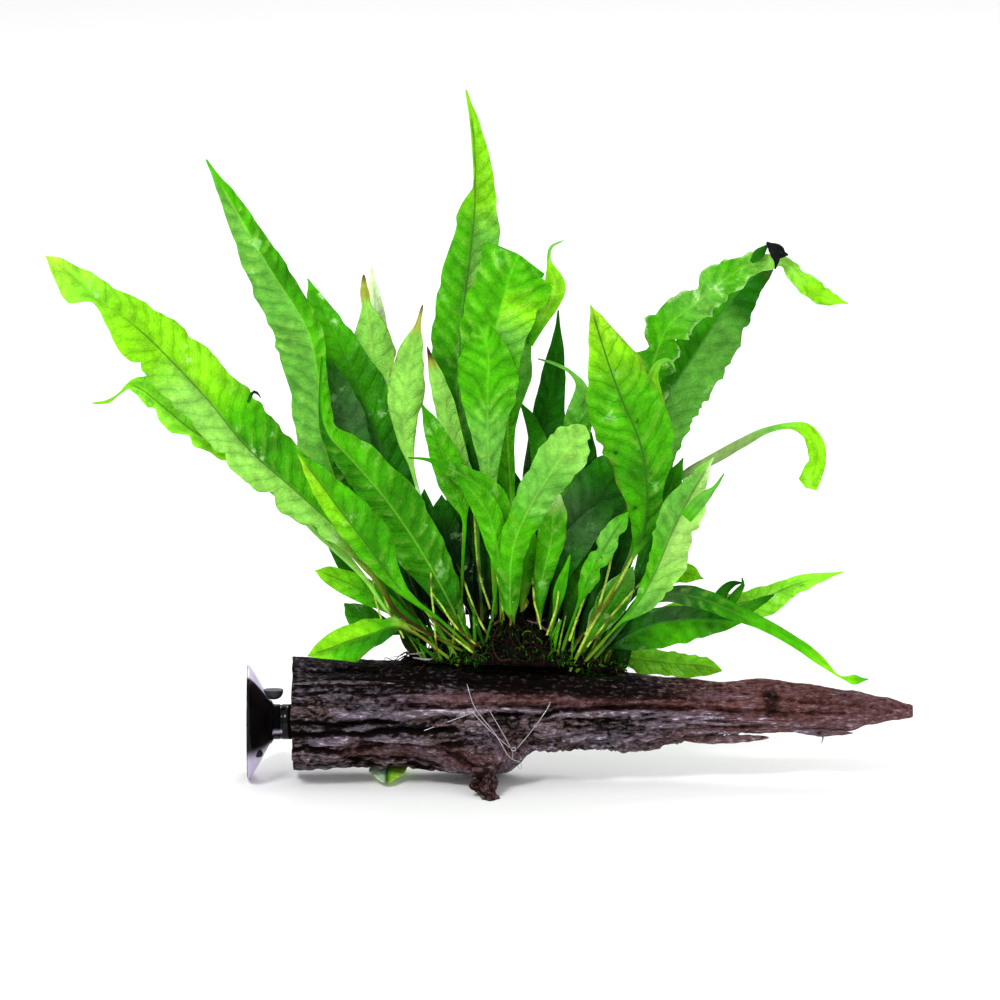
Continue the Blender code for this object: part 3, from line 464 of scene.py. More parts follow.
def paintWood():
    look, add, put = startMaterial("wet_bark", 0.42)
    raised, reddish, mossy = numbersOf(add, "bark")
    cut, ring = numbersOf(add, "sawn")[:2]
    grain = grainNoise(add, (90, 800, 800), 5.0, roughness=0.65)
    fibres = grainNoise(add, (300, 1650, 1650), 5.0, roughness=0.7)
    crumbs = grainNoise(add, (420, 760, 760), 5.0, roughness=0.65)
    speck = grainNoise(add, (900, 1600, 1600), 3.0)
    patch = grainNoise(add, (40, 110, 110), 3.0)
    grainMid, fibresMid, patchMid, crumbsMid = [
        calc(add, "SUBTRACT", value, 0.5) for value in (grain, fibres, patch, crumbs)]
    # the first bark number carries painted light and shade, which makes raised bark lighter
    body = weighed(add, (raised, 0.45), (crumbsMid, 2.3), (grainMid, 0.8), (patchMid, 0.5))
    fleckAndGlint = weighed(add, (raised, 0.30), (fibresMid, 2.4), (grainMid, 1.0), (crumbsMid, 1.6))
    rings = calc(add, "SINE", weighed(add, (ring, 5.2), (patch, 9.0)))
    sawn = layered(
        add, (0.15, 0.072, 0.036), (ease(add, rings, -0.6, 0.9), (0.055, 0.024, 0.013)),
        (ease(add, speck, 0.45, 0.75), (0.03, 0.014, 0.009)))
    plain = mixColour(add, ease(add, patch, 0.40, 0.60), (0.125, 0.080, 0.076), (0.118, 0.096, 0.122))
    put(specular=0.04, colour=layered(
        add, (0.0032, 0.0018, 0.0014),
        (ease(add, body, -0.20, 0.42), plain),
        (times(add, reddish, ease(add, body, -0.8, 0.6), 0.85), (0.20, 0.070, 0.062)),
        # lilac flecks: the bark's own pale flecks and painted highlights of the wet bark, brightest on raised
        # bark
        (ease(add, fleckAndGlint, 0.22, 0.60), (0.26, 0.20, 0.25)),
        (ease(add, fleckAndGlint, 0.54, 0.90), (0.68, 0.62, 0.76)),
        (times(add, mossy, ease(add, speck, 0.4, 0.6)), (0.04, 0.15, 0.008)),
        (cut, sawn)))
    put(roughness=remap(add, grain, 0.28, 0.62))
    put(normal=bumpFrom(add, weighed(add, (grain, 1.2), (crumbs, 1.2)), 1.0, 0.0012))
    return look


def barkPart():
    stations, sides = wood["stations"], wood["sides"]
    x, angle = np.meshgrid(
        np.linspace(wood["start"], wood["end"], stations), np.arange(sides) * 360 / sides, indexing="ij")
    radius = woodRadius(x, angle)
    relief, raised, rough, high = barkRelief(x, angle, radius)
    points = onAxis(x, angle, np.maximum(radius + relief, 0.5))
    # the sawn edge is a little worn and bulges at the front
    worn = 0.5 * facing(angle, 183, 34) + 0.4 * (noise(angle / 360 * 40, 0, 611, 40) - 0.5)
    points[..., 0] -= worn * hump(x - wood["start"], 2.2)
    red = 0.75 * facing(angle, 165, 8) * between(x, -40, 0, 75, 110)
    red += 0.55 * facing(angle, 228, 14) * between(x, -60, -40, 5, 20) + 0.82 * smoothStep(50, 100, x)
    moss = (hump(x + 6, 9) + hump(x - 38, 8)) * facing(angle, 104, 13)
    upperFront = between(angle, 60, 95, 150, 162) * (1 - 0.8 * smoothStep(48, 78, x))
    upperFront = upperFront * (0.7 + 0.3 * smoothStep(-50, -20, x))
    # glow is painted light and shade: raised, rough and ridged bark lighter; it is also darker on the upper
    # front
    glow = np.minimum(raised * (0.45 + 0.75 * rough), 0.95) - 0.5 * upperFront + 0.15 * rough + 0.35 * high
    # painted highlights along the ridge across the front and along the upper front at the left, painted light
    # on the underside against its shade, and a lighter pointed end
    glow += 0.45 * facing(angle, 178, 3) * between(x, -40, -10, 52, 66) + 0.35 * smoothStep(55, 80, x)
    glow += 0.25 * facing(angle, 163, 9) * (1 - smoothStep(-10, 30, x))
    glow += 0.22 * between(angle, 205, 222, 262, 285)
    # a dark upright patch near the pointed end
    stain = hump(x - 101.5, 2.6, 4) * between(angle, 125, 137, 186, 196)
    bark = rowsOf(glow - 0.8 * stain, np.clip(red, 0, 1) * (1 - 0.6 * stain), moss)
    faces = [tuple(face) for face in gridFaces(stations, sides, closed=True)[:, ::-1]]
    faces.append(tuple(range((stations - 1) * sides, stations * sides)))
    return points, faces, bark


def sawnEnd(outline):
    # the sawn face with its rings, then the drilled hole, inward from the bark's first ring
    sides, rings, hole = len(outline), wood["sawnRings"], wood["hole"]
    turn = np.radians(np.arange(sides) * 360 / sides)
    rim = hole["radius"] * np.stack((np.cos(turn), np.sin(turn)), -1) + (hole["shift"], hole["height"])
    verts, sawn = [], []
    for k in range(rings + 1):
        share = k / rings
        flat = outline[:, 1:] * (1 - share) + rim * share
        depth, height = flat.T
        edge = math.sin(math.pi * share) ** 0.3 if 0 < k < rings else 0
        marks = 0.10 * np.sin(height * 7 + 0.6 * depth) + 0.25 * noise(depth / 3, height / 3 + 40, 21)
        marks += 0.9 * hump(depth * 0.5 - height * 0.86 + 1.5 * np.sin(depth * 0.4), 0.35) * (depth > 4)
        base = wood["start"] + (outline[:, 0] - wood["start"]) * (1 - share) ** 5
        verts.append(np.column_stack((base + edge * marks, flat)))
        sawn.append(rowsOf(1.0 if k else 0.6, np.hypot(depth, height), 0))
    for depth in (0.4, 3.0, hole["depth"]):
        verts.append(np.column_stack((np.full(sides, wood["start"] + depth), rim)))
        sawn.append(np.tile((0.3, 4.0, 0), (sides, 1)))
    extra = {"bark": (0, 0, 0), "sawn": np.vstack(sawn)}
    return np.vstack(verts), tubeFaces(len(verts), sides, nearCap=False), extra


def splinterPart(number, points, radius):
    shares = np.linspace(0, 1, 26)
    taper = radius * np.sin(math.pi * np.clip(0.06 + 0.93 * shares, 0, 1)) ** 0.6
    taper = taper * (0.8 + 0.4 * noise(shares * 14, number, 31))
    nearCup = points[0][0] < -60
    return *tube(smoothPath(points, shares), taper, 8), {
        "bark": (0.3, 0.1, 0) if nearCup else (0.7, 0.35, 0), "sawn": (0, 0, 0)}


stub = dict(
    angle=230, reach=21.6, steps=56, sides=64,
    radii=[(0.0, 4.0), (0.3, 4.4), (0.45, 5.2), (0.6, 4.8), (0.72, 3.5), (0.85, 2.6), (1.0, 1.4)],
    hollow=312, lobe=275,     # where its black hollow and its lobe lie, in degrees round it
)


def stubPart():
    # the broken side branch, from just inside the wood down to the surface
    turn, steps, sides = math.radians(stub["angle"]), stub["steps"], stub["sides"]
    outward = np.array((0.0, math.cos(turn), math.sin(turn)))
    seat = outward * 20.2 + np.array((-0.8, 0, 0))
    along = outward + np.array((0.2, 0, 0))
    along /= np.linalg.norm(along)
    side = np.cross(along, (1.0, 0, 0))
    side /= np.linalg.norm(side)
    other = np.cross(side, along)
    share, around = np.meshgrid(np.linspace(0, 1, steps), np.arange(sides) * 2 * math.pi / sides, indexing="ij")
    uneven = 1 + 0.16 * np.sin(2 * around + 1.0 + 3 * share) + 0.08 * np.sin(5 * around - 9 * share)
    degrees, cells = np.degrees(around), around / (2 * math.pi)
    lumps = noise(share * 9, cells * 11, 14, 11) - 0.5
    furrow = crested(noise(share * 3, cells * 16, 15, 16))
    hollow = hump(share - 0.58, 0.06) * facing(degrees, stub["hollow"], 22)
    lobe = hump(share - 0.56, 0.09) * facing(degrees, stub["lobe"], 45)
    radius = blend(stub["radii"], share) * uneven + 1.9 * lobe
    radius = radius * (1 + 0.75 * lumps - 0.35 * furrow ** 4 - 0.55 * hollow)
    points = seat + along * (stub["reach"] * share)[..., None]
    points = points + side * (radius * np.cos(around))[..., None] + other * (radius * np.sin(around))[..., None]
    # painted light and shade: lumps lighter, the hollow painted dark
    glow = 0.45 * smoothStep(-0.1, 0.4, lumps) - 0.05 - 2.5 * hollow
    return points.reshape(-1, 3), tubeFaces(steps, sides), {"bark": rowsOf(glow, 0.25, 0), "sawn": (0, 0, 0)}


def dressWood():
    look = paintWood()
    points, faces, bark = barkPart()
    body = (points.reshape(-1, 3), faces, {"bark": bark, "sawn": (0, 0, 0)})
    splinters = [splinterPart(number, *strand) for number, strand in enumerate(wood["splinters"])]
    addPiece("bark_log", [body, sawnEnd(points[0])] + splinters, look, "driftwood_log")
    addPiece("bark_stub", [stubPart()], look, "driftwood_stub")


dressWood()

print("suction cup")
cup = dict(
    rimX=-82.0, radius=20.0, steps=192, sharpDeg=50,
    # (distance from its axis, height above the rim), from the plug round the flank to the hollow face
    profile=[
        (0.01, 25.0), (2.6, 25.0), (3.0, 24.4), (3.0, 15.7), (3.2, 15.6), (6.0, 15.6), (6.2, 15.4), (6.2, 12.4),
        (6.0, 12.2), (6.0, 11.6), (6.2, 11.4), (6.2, 9.5), (6.6, 9.1), (7.3, 8.8), (7.6, 8.5), (7.8, 8.0),
        (9.5, 7.05), (11.5, 6.0), (13.5, 4.95), (15.5, 3.8), (17.4, 2.7), (18.8, 1.7), (19.7, 1.0), (20.0, 0.5),
        (19.9, 0.06), (19.4, 0.0), (17.0, 0.0), (15.2, 0.8), (13.0, 1.7), (10.0, 2.8), (7.0, 3.7), (3.5, 4.2),
        (0.01, 4.4)],
    # lugs on the flank: (x, depth and height from its axis), half sizes, how far up they go, painted sheen on
    # them
    lugs=[((-72.7, -1.0, 11.5), (3.4, 2.4, 3.2), 0.1, 0.05), ((-78.0, -12.4, -8.4), (1.7, 1.4, 1.4), 1.0, 0)],
    lugRows=15, lugSides=24,
)


def paintRubber():
    look, add, put = startMaterial("black_rubber", 0.16)
    paintedSheen = numbersOf(add, "paintedSheen")[0]
    smear, dust = grainNoise(add, (60, 60, 60), 3.0), grainNoise(add, (1400, 1400, 1400), 2.0)
    # a pale lilac painted reflection where the sheen number is set, on black rubber
    put(specular=0.15, coat=0.04, coatRoughness=0.04, roughness=remap(add, smear, 0.07, 0.24), colour=layered(
        add, (0.001, 0.001, 0.0012),
        (ease(add, smear, 0.35, 0.7), (0.004, 0.004, 0.006)),
        (ease(add, dust, 0.70, 0.8), (0.03, 0.03, 0.04)),
        (paintedSheen, mixColour(add, smear, (0.50, 0.40, 0.66), (0.82, 0.76, 0.92)))))
    return look


def cupWorld(points):
    # from (x, depth, height) about the cup's axis, in mm, to the world
    return (points.reshape(-1, 3) + np.array((0, layout["setBack"], cup["radius"]))) * mm


def lugPart(place, size, top, paintedSheen):
    rows, sides = cup["lugRows"], cup["lugSides"]
    around, rise = np.meshgrid(np.arange(sides) * 2 * math.pi / sides, np.linspace(-1, top, rows))
    wide, deep = [np.sign(way) * np.abs(way) ** 0.8 for way in (np.cos(around), np.sin(around))]
    swell = np.maximum(0.02, 1 - np.abs(rise) ** 2.2) ** (1 / 2.2)
    box = np.stack((wide * swell, deep * swell, rise), -1) * np.array(size) + np.array(place)
    return cupWorld(box), tubeFaces(rows, sides), {"paintedSheen": (paintedSheen, 0, 0)}


def dressCup():
    radius, height = np.array(cup["profile"]).T[..., None]
    turn = np.arange(cup["steps"])[None, :] * 2 * math.pi / cup["steps"]
    waver = radius * (1 + 0.004 * np.sin(5 * turn) * (radius > 12))
    points = np.stack((cup["rimX"] + height + 0 * turn, waver * np.cos(turn), waver * np.sin(turn)), -1)
    points[..., 2] = np.maximum(points[..., 2], -cup["radius"])
    faces = [tuple(face) for face in gridFaces(len(radius), cup["steps"], closed=True)]
    # painted reflection: a pale sheen above and below on the flank, and in a strip on the neck
    sine = points[..., 2] / np.maximum(np.hypot(points[..., 1], points[..., 2]), 0.01)
    out = (radius - 8) / 12 + 0 * sine
    flank = smoothStep(0.02, 0.08, out) * (height > 0.2)
    above = smoothStep(0.965 - 0.08 * out, 0.985 - 0.07 * out, sine)
    below = smoothStep(5.5, 11.0, -points[..., 2])
    strip = hump(sine + 0.37, 0.10) * (points[..., 1] < 0) * ((height > 9) & (height < 12.3))
    paintedSheen = np.clip(flank * np.maximum(above, 0.9 * below) + strip, 0, 1)
    parts = [(cupWorld(points), faces, {"paintedSheen": rowsOf(paintedSheen, 0, 0)})] + [lugPart(*lug) for lug in cup["lugs"]]
    addPiece("rubber_cup", parts, paintRubber(), "suction_cup", inWorld=True,
             sharpDeg=cup["sharpDeg"])


dressCup()

print("roots")
roots = dict(
    # the lump: its ends along the wood, half its width in degrees, how much narrower it gets at its ends, then
    # where its peak is with height and spread, and its height elsewhere
    first=-29.83, last=49.73, halfTurn=60.0, narrowing=0.45, peakX=13.0, peak=15.0, spread=18.0, low=3.2,
    stations=150, sides=120,
    strands=420, paleStrands=16, seed=7,
    tints=[(0.003, 0.002, 0.002), (0.005, 0.004, 0.003), (0.012, 0.006, 0.004), (0.002, 0.002, 0.002),
           (0.007, 0.012, 0.003), (0.026, 0.010, 0.007), (0.004, 0.003, 0.003), (0.006, 0.005, 0.004)],
    paleTints=[(0.07, 0.04, 0.02), (0.06, 0.055, 0.03)],
    # green moss along the front edge: x from and to, height from and to, how many blades
    moss=[(-20, 2, 17, 24, 160), (26, 50, 15, 24, 170), (2, 26, 18, 30, 90)],
    mossTints=[(0.018, 0.085, 0.003), (0.05, 0.17, 0.006), (0.008, 0.04, 0.002)],
    bases=74,                         # short stalk bases
    baseTints=[(0.02, 0.12, 0.003), (0.05, 0.24, 0.006), (0.008, 0.05, 0.002), (0.13, 0.26, 0.015),
               (0.05, 0.05, 0.008)],
    # single things that stand out on the front: route as (x, height, lift), thickness and colour
    singles=[
        ([(14.2, 35, 0.6), (15.4, 38, 3.4), (15.8, 41, 4.6)], 1.1, (0.62, 0.48, 0.05)),
        ([(16, 32, 0.8), (19, 31, 1.2), (22, 32, 1.2), (25, 34, 1.0)], 0.55, (0.16, 0.07, 0.11)),
        ([(20, 31, 1.0), (22, 29, 1.4), (25.5, 28, 1.2)], 0.45, (0.18, 0.08, 0.12)),
        ([(-3.5, 22, 0.8), (-1, 24, 1.0), (1, 25, 0.8)], 0.5, (0.13, 0.03, 0.012)),
        ([(25.4, 31, 0.6), (26, 33.6, 2.0), (26.6, 36, 2.6)], 0.9, (0.30, 0.10, 0.02)),
        ([(-26, 21, 0.8), (-22, 20.5, 1.4), (-18, 21, 1.2), (-15, 20, 0.9)], 0.45, (0.34, 0.34, 0.32)),
        ([(-24, 19, 0.8), (-19, 18.5, 1.0), (-14, 19, 0.8)], 0.4, (0.26, 0.25, 0.24)),
        ([(-20, 23, 0.6), (-16, 22.4, 1.2), (-12, 21.5, 0.8)], 0.35, (0.30, 0.28, 0.25)),
        ([(34, 24, 0.6), (38, 22, 1.0), (43, 22.5, 0.8)], 0.45, (0.22, 0.10, 0.04)),
        ([(2, 28, 0.6), (5, 31, 1.2), (9, 33, 0.8)], 0.5, (0.10, 0.05, 0.02)),
    ],
    # thin free stalks in front of and between the leaves: route as (x, depth, height), thickness
    stalks=[
        ([(-6, -1, 70), (-6.6, -2, 52), (-7.4, -2, 34)], 0.42),
        ([(-2.8, -2, 72), (-1, -3, 50), (3, -5, 36)], 0.42),
        ([(-5, -10, 43), (-1, -13, 33), (3, -15, 26)], 0.38),
        ([(-14.5, -15, 38), (-9, -17.5, 30), (-2, -18, 24)], 0.4),
        ([(-25, -15, 42), (-15, -18, 31), (-3, -18.5, 21)], 0.42),
        ([(-17.4, -14, 45), (-16.6, -17, 32), (-15.6, -16, 21)], 0.36),
        ([(-38.4, -13, 50), (-37, -14, 40), (-34, -15, 30)], 0.34),
        ([(-36, -13, 48), (-33, -15, 38), (-27, -16, 26)], 0.38),
        ([(11, -14, 42), (10.8, -15, 36), (10, -15, 30)], 0.4),
        ([(38, -15, 47), (34.5, -17, 36), (30.5, -16.5, 25)], 0.42),
        ([(45.5, -16, 54), (42, -17, 40), (36, -17, 27)], 0.42),
        ([(55.5, -18, 60), (46.7, -18, 43), (39, -17.5, 31), (33.8, -16, 21)], 0.45),
        ([(51, -16, 40), (44, -17, 32), (37, -16, 23)], 0.42),
        ([(18, -12, 44), (19, -14, 37), (21, -15, 29)], 0.38),
        ([(27, -12, 45), (26, -15, 36), (23, -16, 27)], 0.38),
        ([(5, -12, 50), (7, -14, 40), (8, -15, 32)], 0.36),
    ],
    stalkTint=(0.34, 0.50, 0.06, 1), oldStalkTint=(0.10, 0.09, 0.015, 1),
)


def taperAt(u):
    # 0 in the middle of the lump, 1 at its two ends; u runs from 0 to 1
    return np.minimum(1, np.abs(2 * u - 1) ** 4)


def moundRadius(x, angle):
    # distance from the wood's axis to the top of the lump that the stalks grow from
    taper = taperAt((x - roots["first"]) / (roots["last"] - roots["first"]))
    rise = roots["low"] * (1 - taper) + roots["peak"] * hump(x - roots["peakX"], roots["spread"])
    reach = roots["halfTurn"] * (1 - roots["narrowing"] * taper) + 4
    roundIt = np.cos(np.radians(np.minimum(90, np.abs(turnBetween(angle, 90)) * 90 / reach)))
    rise = (rise + 0.6 * np.sin(0.9 * x + 5 * np.radians(angle))) * np.maximum(0, roundIt) ** 0.8
    return woodRadius(x, np.mod(angle, 360)) + rise


def lowEdge(x):
    # height at which the lump ends at the front, and the angle of that edge
    x = np.atleast_1d(np.asarray(x, float))
    height = blend(wood["top"], x) - 0.4
    fan = np.linspace(96, 158, 125)
    along, around = np.meshgrid(x, fan, indexing="ij")
    inside = moundRadius(along, around) * np.sin(np.radians(around)) >= height[:, None]
    last = np.where(inside.any(1), len(fan) - 1 - np.argmax(inside[:, ::-1], 1), 0)
    return height, fan[last]


edgeX = np.linspace(roots["first"] - 6, roots["last"] + 6, 92)
edgeAngle = np.convolve(np.pad(lowEdge(edgeX)[1], 4, "edge"), np.ones(9) / 9, "valid")


def rootTop(x, angle):
    # the lump as it is seen, which stops above the front of the wood
    edge = np.interp(x, edgeX, edgeAngle)
    return np.where(angle <= edge, moundRadius(x, angle), woodRadius(x, np.mod(angle, 360)))


def frontSpot(x, height, lift=0.0):
    # the place on the front of the roots or the wood that is seen at this x and height
    angles = np.linspace(250, 90, 321)
    along = np.full_like(angles, x)
    bare = woodRadius(along, angles)
    radius = np.maximum(bare + barkRelief(along, angles, bare)[0], rootTop(along, angles)) + lift
    heights = radius * np.sin(np.radians(angles))
    k = int(np.argmax(heights >= height)) if (heights >= height).any() else int(np.argmax(heights))
    return onAxis(np.array(float(x)), angles[k], radius[k])


def paintRoots():
    look, add, put = startMaterial("dark_roots", 0.5)
    grain, lumps = grainNoise(add, 1300.0, 3.0), grainNoise(add, 210.0, 3.0)
    tint = mottled(add, add("Attribute", 0, attribute_name="tint"), grain, 0.55, 1.5)
    green = times(add, ease(add, lumps, 0.56, 0.7), 0.3)
    put(specular=0.02, colour=mixColour(add, green, tint, (0.012, 0.02, 0.004)))
    put(roughness=remap(add, grain, 0.34, 0.66), normal=bumpFrom(add, grain, 0.5, 0.0004))
    return look


def rootPiece(points, radii, sides, tint):
    # a tube of one colour
    return *tube(points, radii, sides), {"tint": (*tint, 1)}


def mossBlade(foot, tip, width, tint):
    # a small closed pointed blade
    shares = np.linspace(0, 1, 6)
    bend = foot + (tip - foot) * shares[:, None]
    bend[:, 2] += 0.25 * np.linalg.norm(tip - foot) * np.sin(math.pi * shares)
    return rootPiece(bend, width * (1 - shares) ** 0.7 + 0.03, 4, tint)


def strandPart(draw, tint):
    # one thin root that wanders over the lump and the wood
    centreOut = draw.rand() < 0.75
    x = draw.normal(14, 16) if centreOut else draw.uniform(-28, 48)
    x = float(np.clip(x, -28, 47))
    limit = draw.uniform(126, 142)
    angle = draw.uniform(38, limit)
    heading = draw.uniform(0, 2 * math.pi)
    step = 1.3
    count = int(draw.uniform(8, 26) / step) + 4
    lift = draw.uniform(0.0, 1.3)
    points = []
    for i in range(count):
        radius = rootTop(np.array(x), np.array(angle)) + lift + 0.5 * math.sin(0.9 * i + heading) + 0.1
        if angle > np.interp(x, edgeX, edgeAngle) - 1 and len(points) > 3:
            break
        points.append(onAxis(np.array(x), np.array(angle), radius))
        heading += draw.normal(0, 0.34)
        x = float(np.clip(x + step * math.cos(heading), roots["first"] - 4, roots["last"] + 2))
        angle = float(np.clip(angle + math.degrees(step * math.sin(heading) / 19), 22, limit))
    count = len(points)
    radii = draw.uniform(0.16, 0.5) * (1 - 0.75 * np.linspace(0, 1, count)) * (0.85 + 0.3 * draw.rand(count))
    return rootPiece(points, np.maximum(radii, 0.06), 5, tint)


def lumpPart():
    # the creeping stem and packed roots as one closed lump
    rows, columns = roots["stations"], roots["sides"]
    u, v = np.meshgrid(np.linspace(0, 1, rows), np.linspace(-1, 1, columns), indexing="ij")
    x = roots["first"] + (roots["last"] - roots["first"]) * u
    reach = roots["halfTurn"] * (1 - roots["narrowing"] * taperAt(u))
    height = lowEdge(x[:, 0])[0]
    edge = np.interp(x[:, 0], edgeX, edgeAngle)[:, None]
    angle = 90 + np.where(v > 0, (edge - 90) * v, reach * v)
    tangle = crested(noise(x / 2.4, angle / 9 + 3, 501))
    tangle += 0.6 * crested(noise(x / 1.1 + angle / 7, angle / 5, 502))
    ends = np.sqrt(np.clip((1 - np.abs(2 * u - 1)) * 8, 0, 1))
    fade = np.where(v > 0, ends, np.sqrt(np.clip((1 - np.abs(v)) * 5, 0, 1)) * ends)
    bare = woodRadius(x, angle)
    top = bare - 2.0 + (moundRadius(x, angle) - bare + 1.9) * fade + fade * (1.5 * tangle - 1.7)
    shelf = (height[:, None] - 0.3) / np.sin(np.radians(angle))
    under = np.maximum(bare - 3.6, np.where(v > 0, shelf, 0) * ends)
    top = np.maximum(top, under + 0.1)
    verts = np.vstack([onAxis(x, angle, radius).reshape(-1, 3) for radius in (top, under)])
    far = rows * columns
    upper, lower = gridFaces(rows, columns), gridFaces(rows, columns, first=far)[:, ::-1]
    rim = [(0, j) for j in range(columns)] + [(i, columns - 1) for i in range(1, rows)]
    rim += [(rows - 1, j) for j in range(columns - 2, -1, -1)] + [(i, 0) for i in range(rows - 2, 0, -1)]
    ids = [i * columns + j for i, j in rim]
    faces = [tuple(face) for face in np.vstack((upper, lower))]
    faces += [(a, b, b + far, a + far) for a, b in zip(ids, ids[1:] + ids[:1])]
    dark, warm = np.array((0.002, 0.0016, 0.0015, 1)), np.array((0.009, 0.005, 0.004, 1))
    tint = (dark + (warm - dark) * smoothStep(0.9, 1.45, tangle)[..., None]).reshape(-1, 4)
    return verts, faces, {"tint": np.vstack((tint, tint))}


def stalkPart(draw, route, radius):
    # a thin stalk that runs on behind the leaves above its first point
    shares, sides = np.linspace(0, 1, 24), 7
    top, below = np.array(route[0], float), np.array(route[1], float)
    line = smoothPath([top + 0.9 * (top - below) + (0, 11, 0)] + route, shares)
    line[:, 0] += 0.5 * (noise(shares * 5, 3, int(200 + 10 * radius * abs(top[0]))) - 0.5)
    radii = radius * (0.85 + 0.3 * draw.rand(len(shares))) * smoothStep(-0.1, 0.2, shares)
    verts, faces = tube(line, radii, sides)
    patchy = smoothStep(0.45, 0.7, noise(np.repeat(shares * 9, sides), 5.0, int(300 + abs(top[0]))))[:, None]
    fresh, old = np.array(roots["stalkTint"]), np.array(roots["oldStalkTint"])
    return verts, faces, {"tint": fresh + patchy * (old - fresh)}


def dressRoots():
    draw = np.random.RandomState(roots["seed"])
    parts = [lumpPart()]
    for count, tints in ((roots["strands"], roots["tints"]), (roots["paleStrands"], roots["paleTints"])):
        for _ in range(count):
            parts.append(strandPart(draw, tints[draw.randint(len(tints))]))
    for x0, x1, low, high, count in roots["moss"]:
        for _ in range(count):
            foot = frontSpot(draw.uniform(x0, x1), draw.uniform(low, high), 0.2)
            reach = draw.uniform(0.8, 2.6)
            way = np.array((draw.normal(0, 0.6), -0.5 - 0.6 * draw.rand(), draw.normal(0.1, 0.7)))
            tip = foot + way * reach
            tint = roots["mossTints"][draw.randint(len(roots["mossTints"]))]
            parts.append(mossBlade(foot, tip, draw.uniform(0.15, 0.34), tint))

    # short stalk bases in front of the lump, which lean away from its middle
    shares = np.linspace(0, 1, 14)
    for _ in range(roots["bases"]):
        x, height = draw.uniform(-21, 44), draw.uniform(0, 1)
        lean = 0.022 * (x - 13) + draw.normal(0, 0.22)
        tall, radius = draw.uniform(7, 17), draw.uniform(0.35, 0.85)
        tint = roots["baseTints"][draw.randint(len(roots["baseTints"]))]
        if 3 < x < 23:
            continue
        foot = frontSpot(x, 17.5 + 9 * height * math.exp(-((x - 12) / 22) ** 2), -0.5)
        route = [foot, foot + (0.4 * lean * tall, -0.5, 0.45 * tall), foot + (lean * tall, 0.4, tall)]
        parts.append(rootPiece(smoothPath(route, shares), radius * (1.1 - 0.5 * shares), 7, tint))
    for route, radius, tint in roots["singles"]:
        line = smoothPath([frontSpot(*spot) for spot in route], shares)
        parts.append(rootPiece(line, radius * np.sin(np.linspace(0.35, 2.9, len(shares))), 7, tint))
    parts += [stalkPart(draw, *stalk) for stalk in roots["stalks"]]
    addPiece("tangled_roots", parts, paintRoots(), "root_mound")


dressRoots()

print("tie line")
tie = dict(
    radius=0.13, knotRadius=0.16, knot=(11.2, -12.8),
    # around the wood as (x, angle), from the top over the front, then below and up the back
    around=[(-5, 150), (-3, 170), (0, 184), (5, 200), (9, 216), (13, 232), (14, 246), (14, 262),
            (14, 280), (13, 298), (12, 316), (11, 334), (10, 352), (9, 370), (9, 384)],
    # strands down the front to the knot, as (x, height)
    front=[
        [(-3.4, 1.5), (-2.6, -0.3), (3, -6.3), (10, -12.4)],
        [(2.8, 1.5), (3.3, 0), (6.5, -5.6), (10.2, -12.2)],
        [(24, 4), (23.3, 1.8), (19.8, -3.5), (16.3, -8), (12.4, -12.6)],
        [(-20, -6.3), (-11, -3.0), (-2.3, 0.3)],
        [(10.8, -12.5), (11, -14), (10.7, -16.5)],
    ],
)


def paintLine():
    look, add, put = startMaterial("clear_line", 0.12)
    smear = grainNoise(add, 400.0, 2.0)
    put(colour=mixColour(add, smear, (0.24, 0.21, 0.25), (0.62, 0.58, 0.64)))
    put(roughness=remap(add, smear, 0.06, 0.2), coat=0.6)
    return look


def dressTie():
    x, angle = smoothPath(tie["around"], np.linspace(0, 1, 90)).T
    radius = np.max([woodRadius(x + a, np.mod(angle + b, 360)) for a in (-3, 0, 3) for b in (-4, 0, 4)], axis=0)
    tubes = [tube(onAxis(x, angle, radius + 0.75), tie["radius"], 8)]
    for strand in tie["front"]:
        lifts = [-0.7] + [0.35] * (len(strand) - 1)               # each starts inside the bark
        spots = [frontSpot(x, height, lift) for (x, height), lift in zip(strand, lifts)]
        tubes.append(tube(smoothPath(spots, np.linspace(0, 1, 30)), tie["radius"], 8))
    turn = np.linspace(0, 5 * math.pi, 46)
    loops = np.stack((0.75 * np.cos(turn), 0.4 * np.sin(1.5 * turn), 0.6 * np.sin(turn)), -1)
    tubes.append(tube(frontSpot(*tie["knot"], 0.5) + loops, tie["knotRadius"], 8))
    addPiece("clear_tie", [(*part, {}) for part in tubes], paintLine(), "tie_line")


dressTie()

print("leaves")
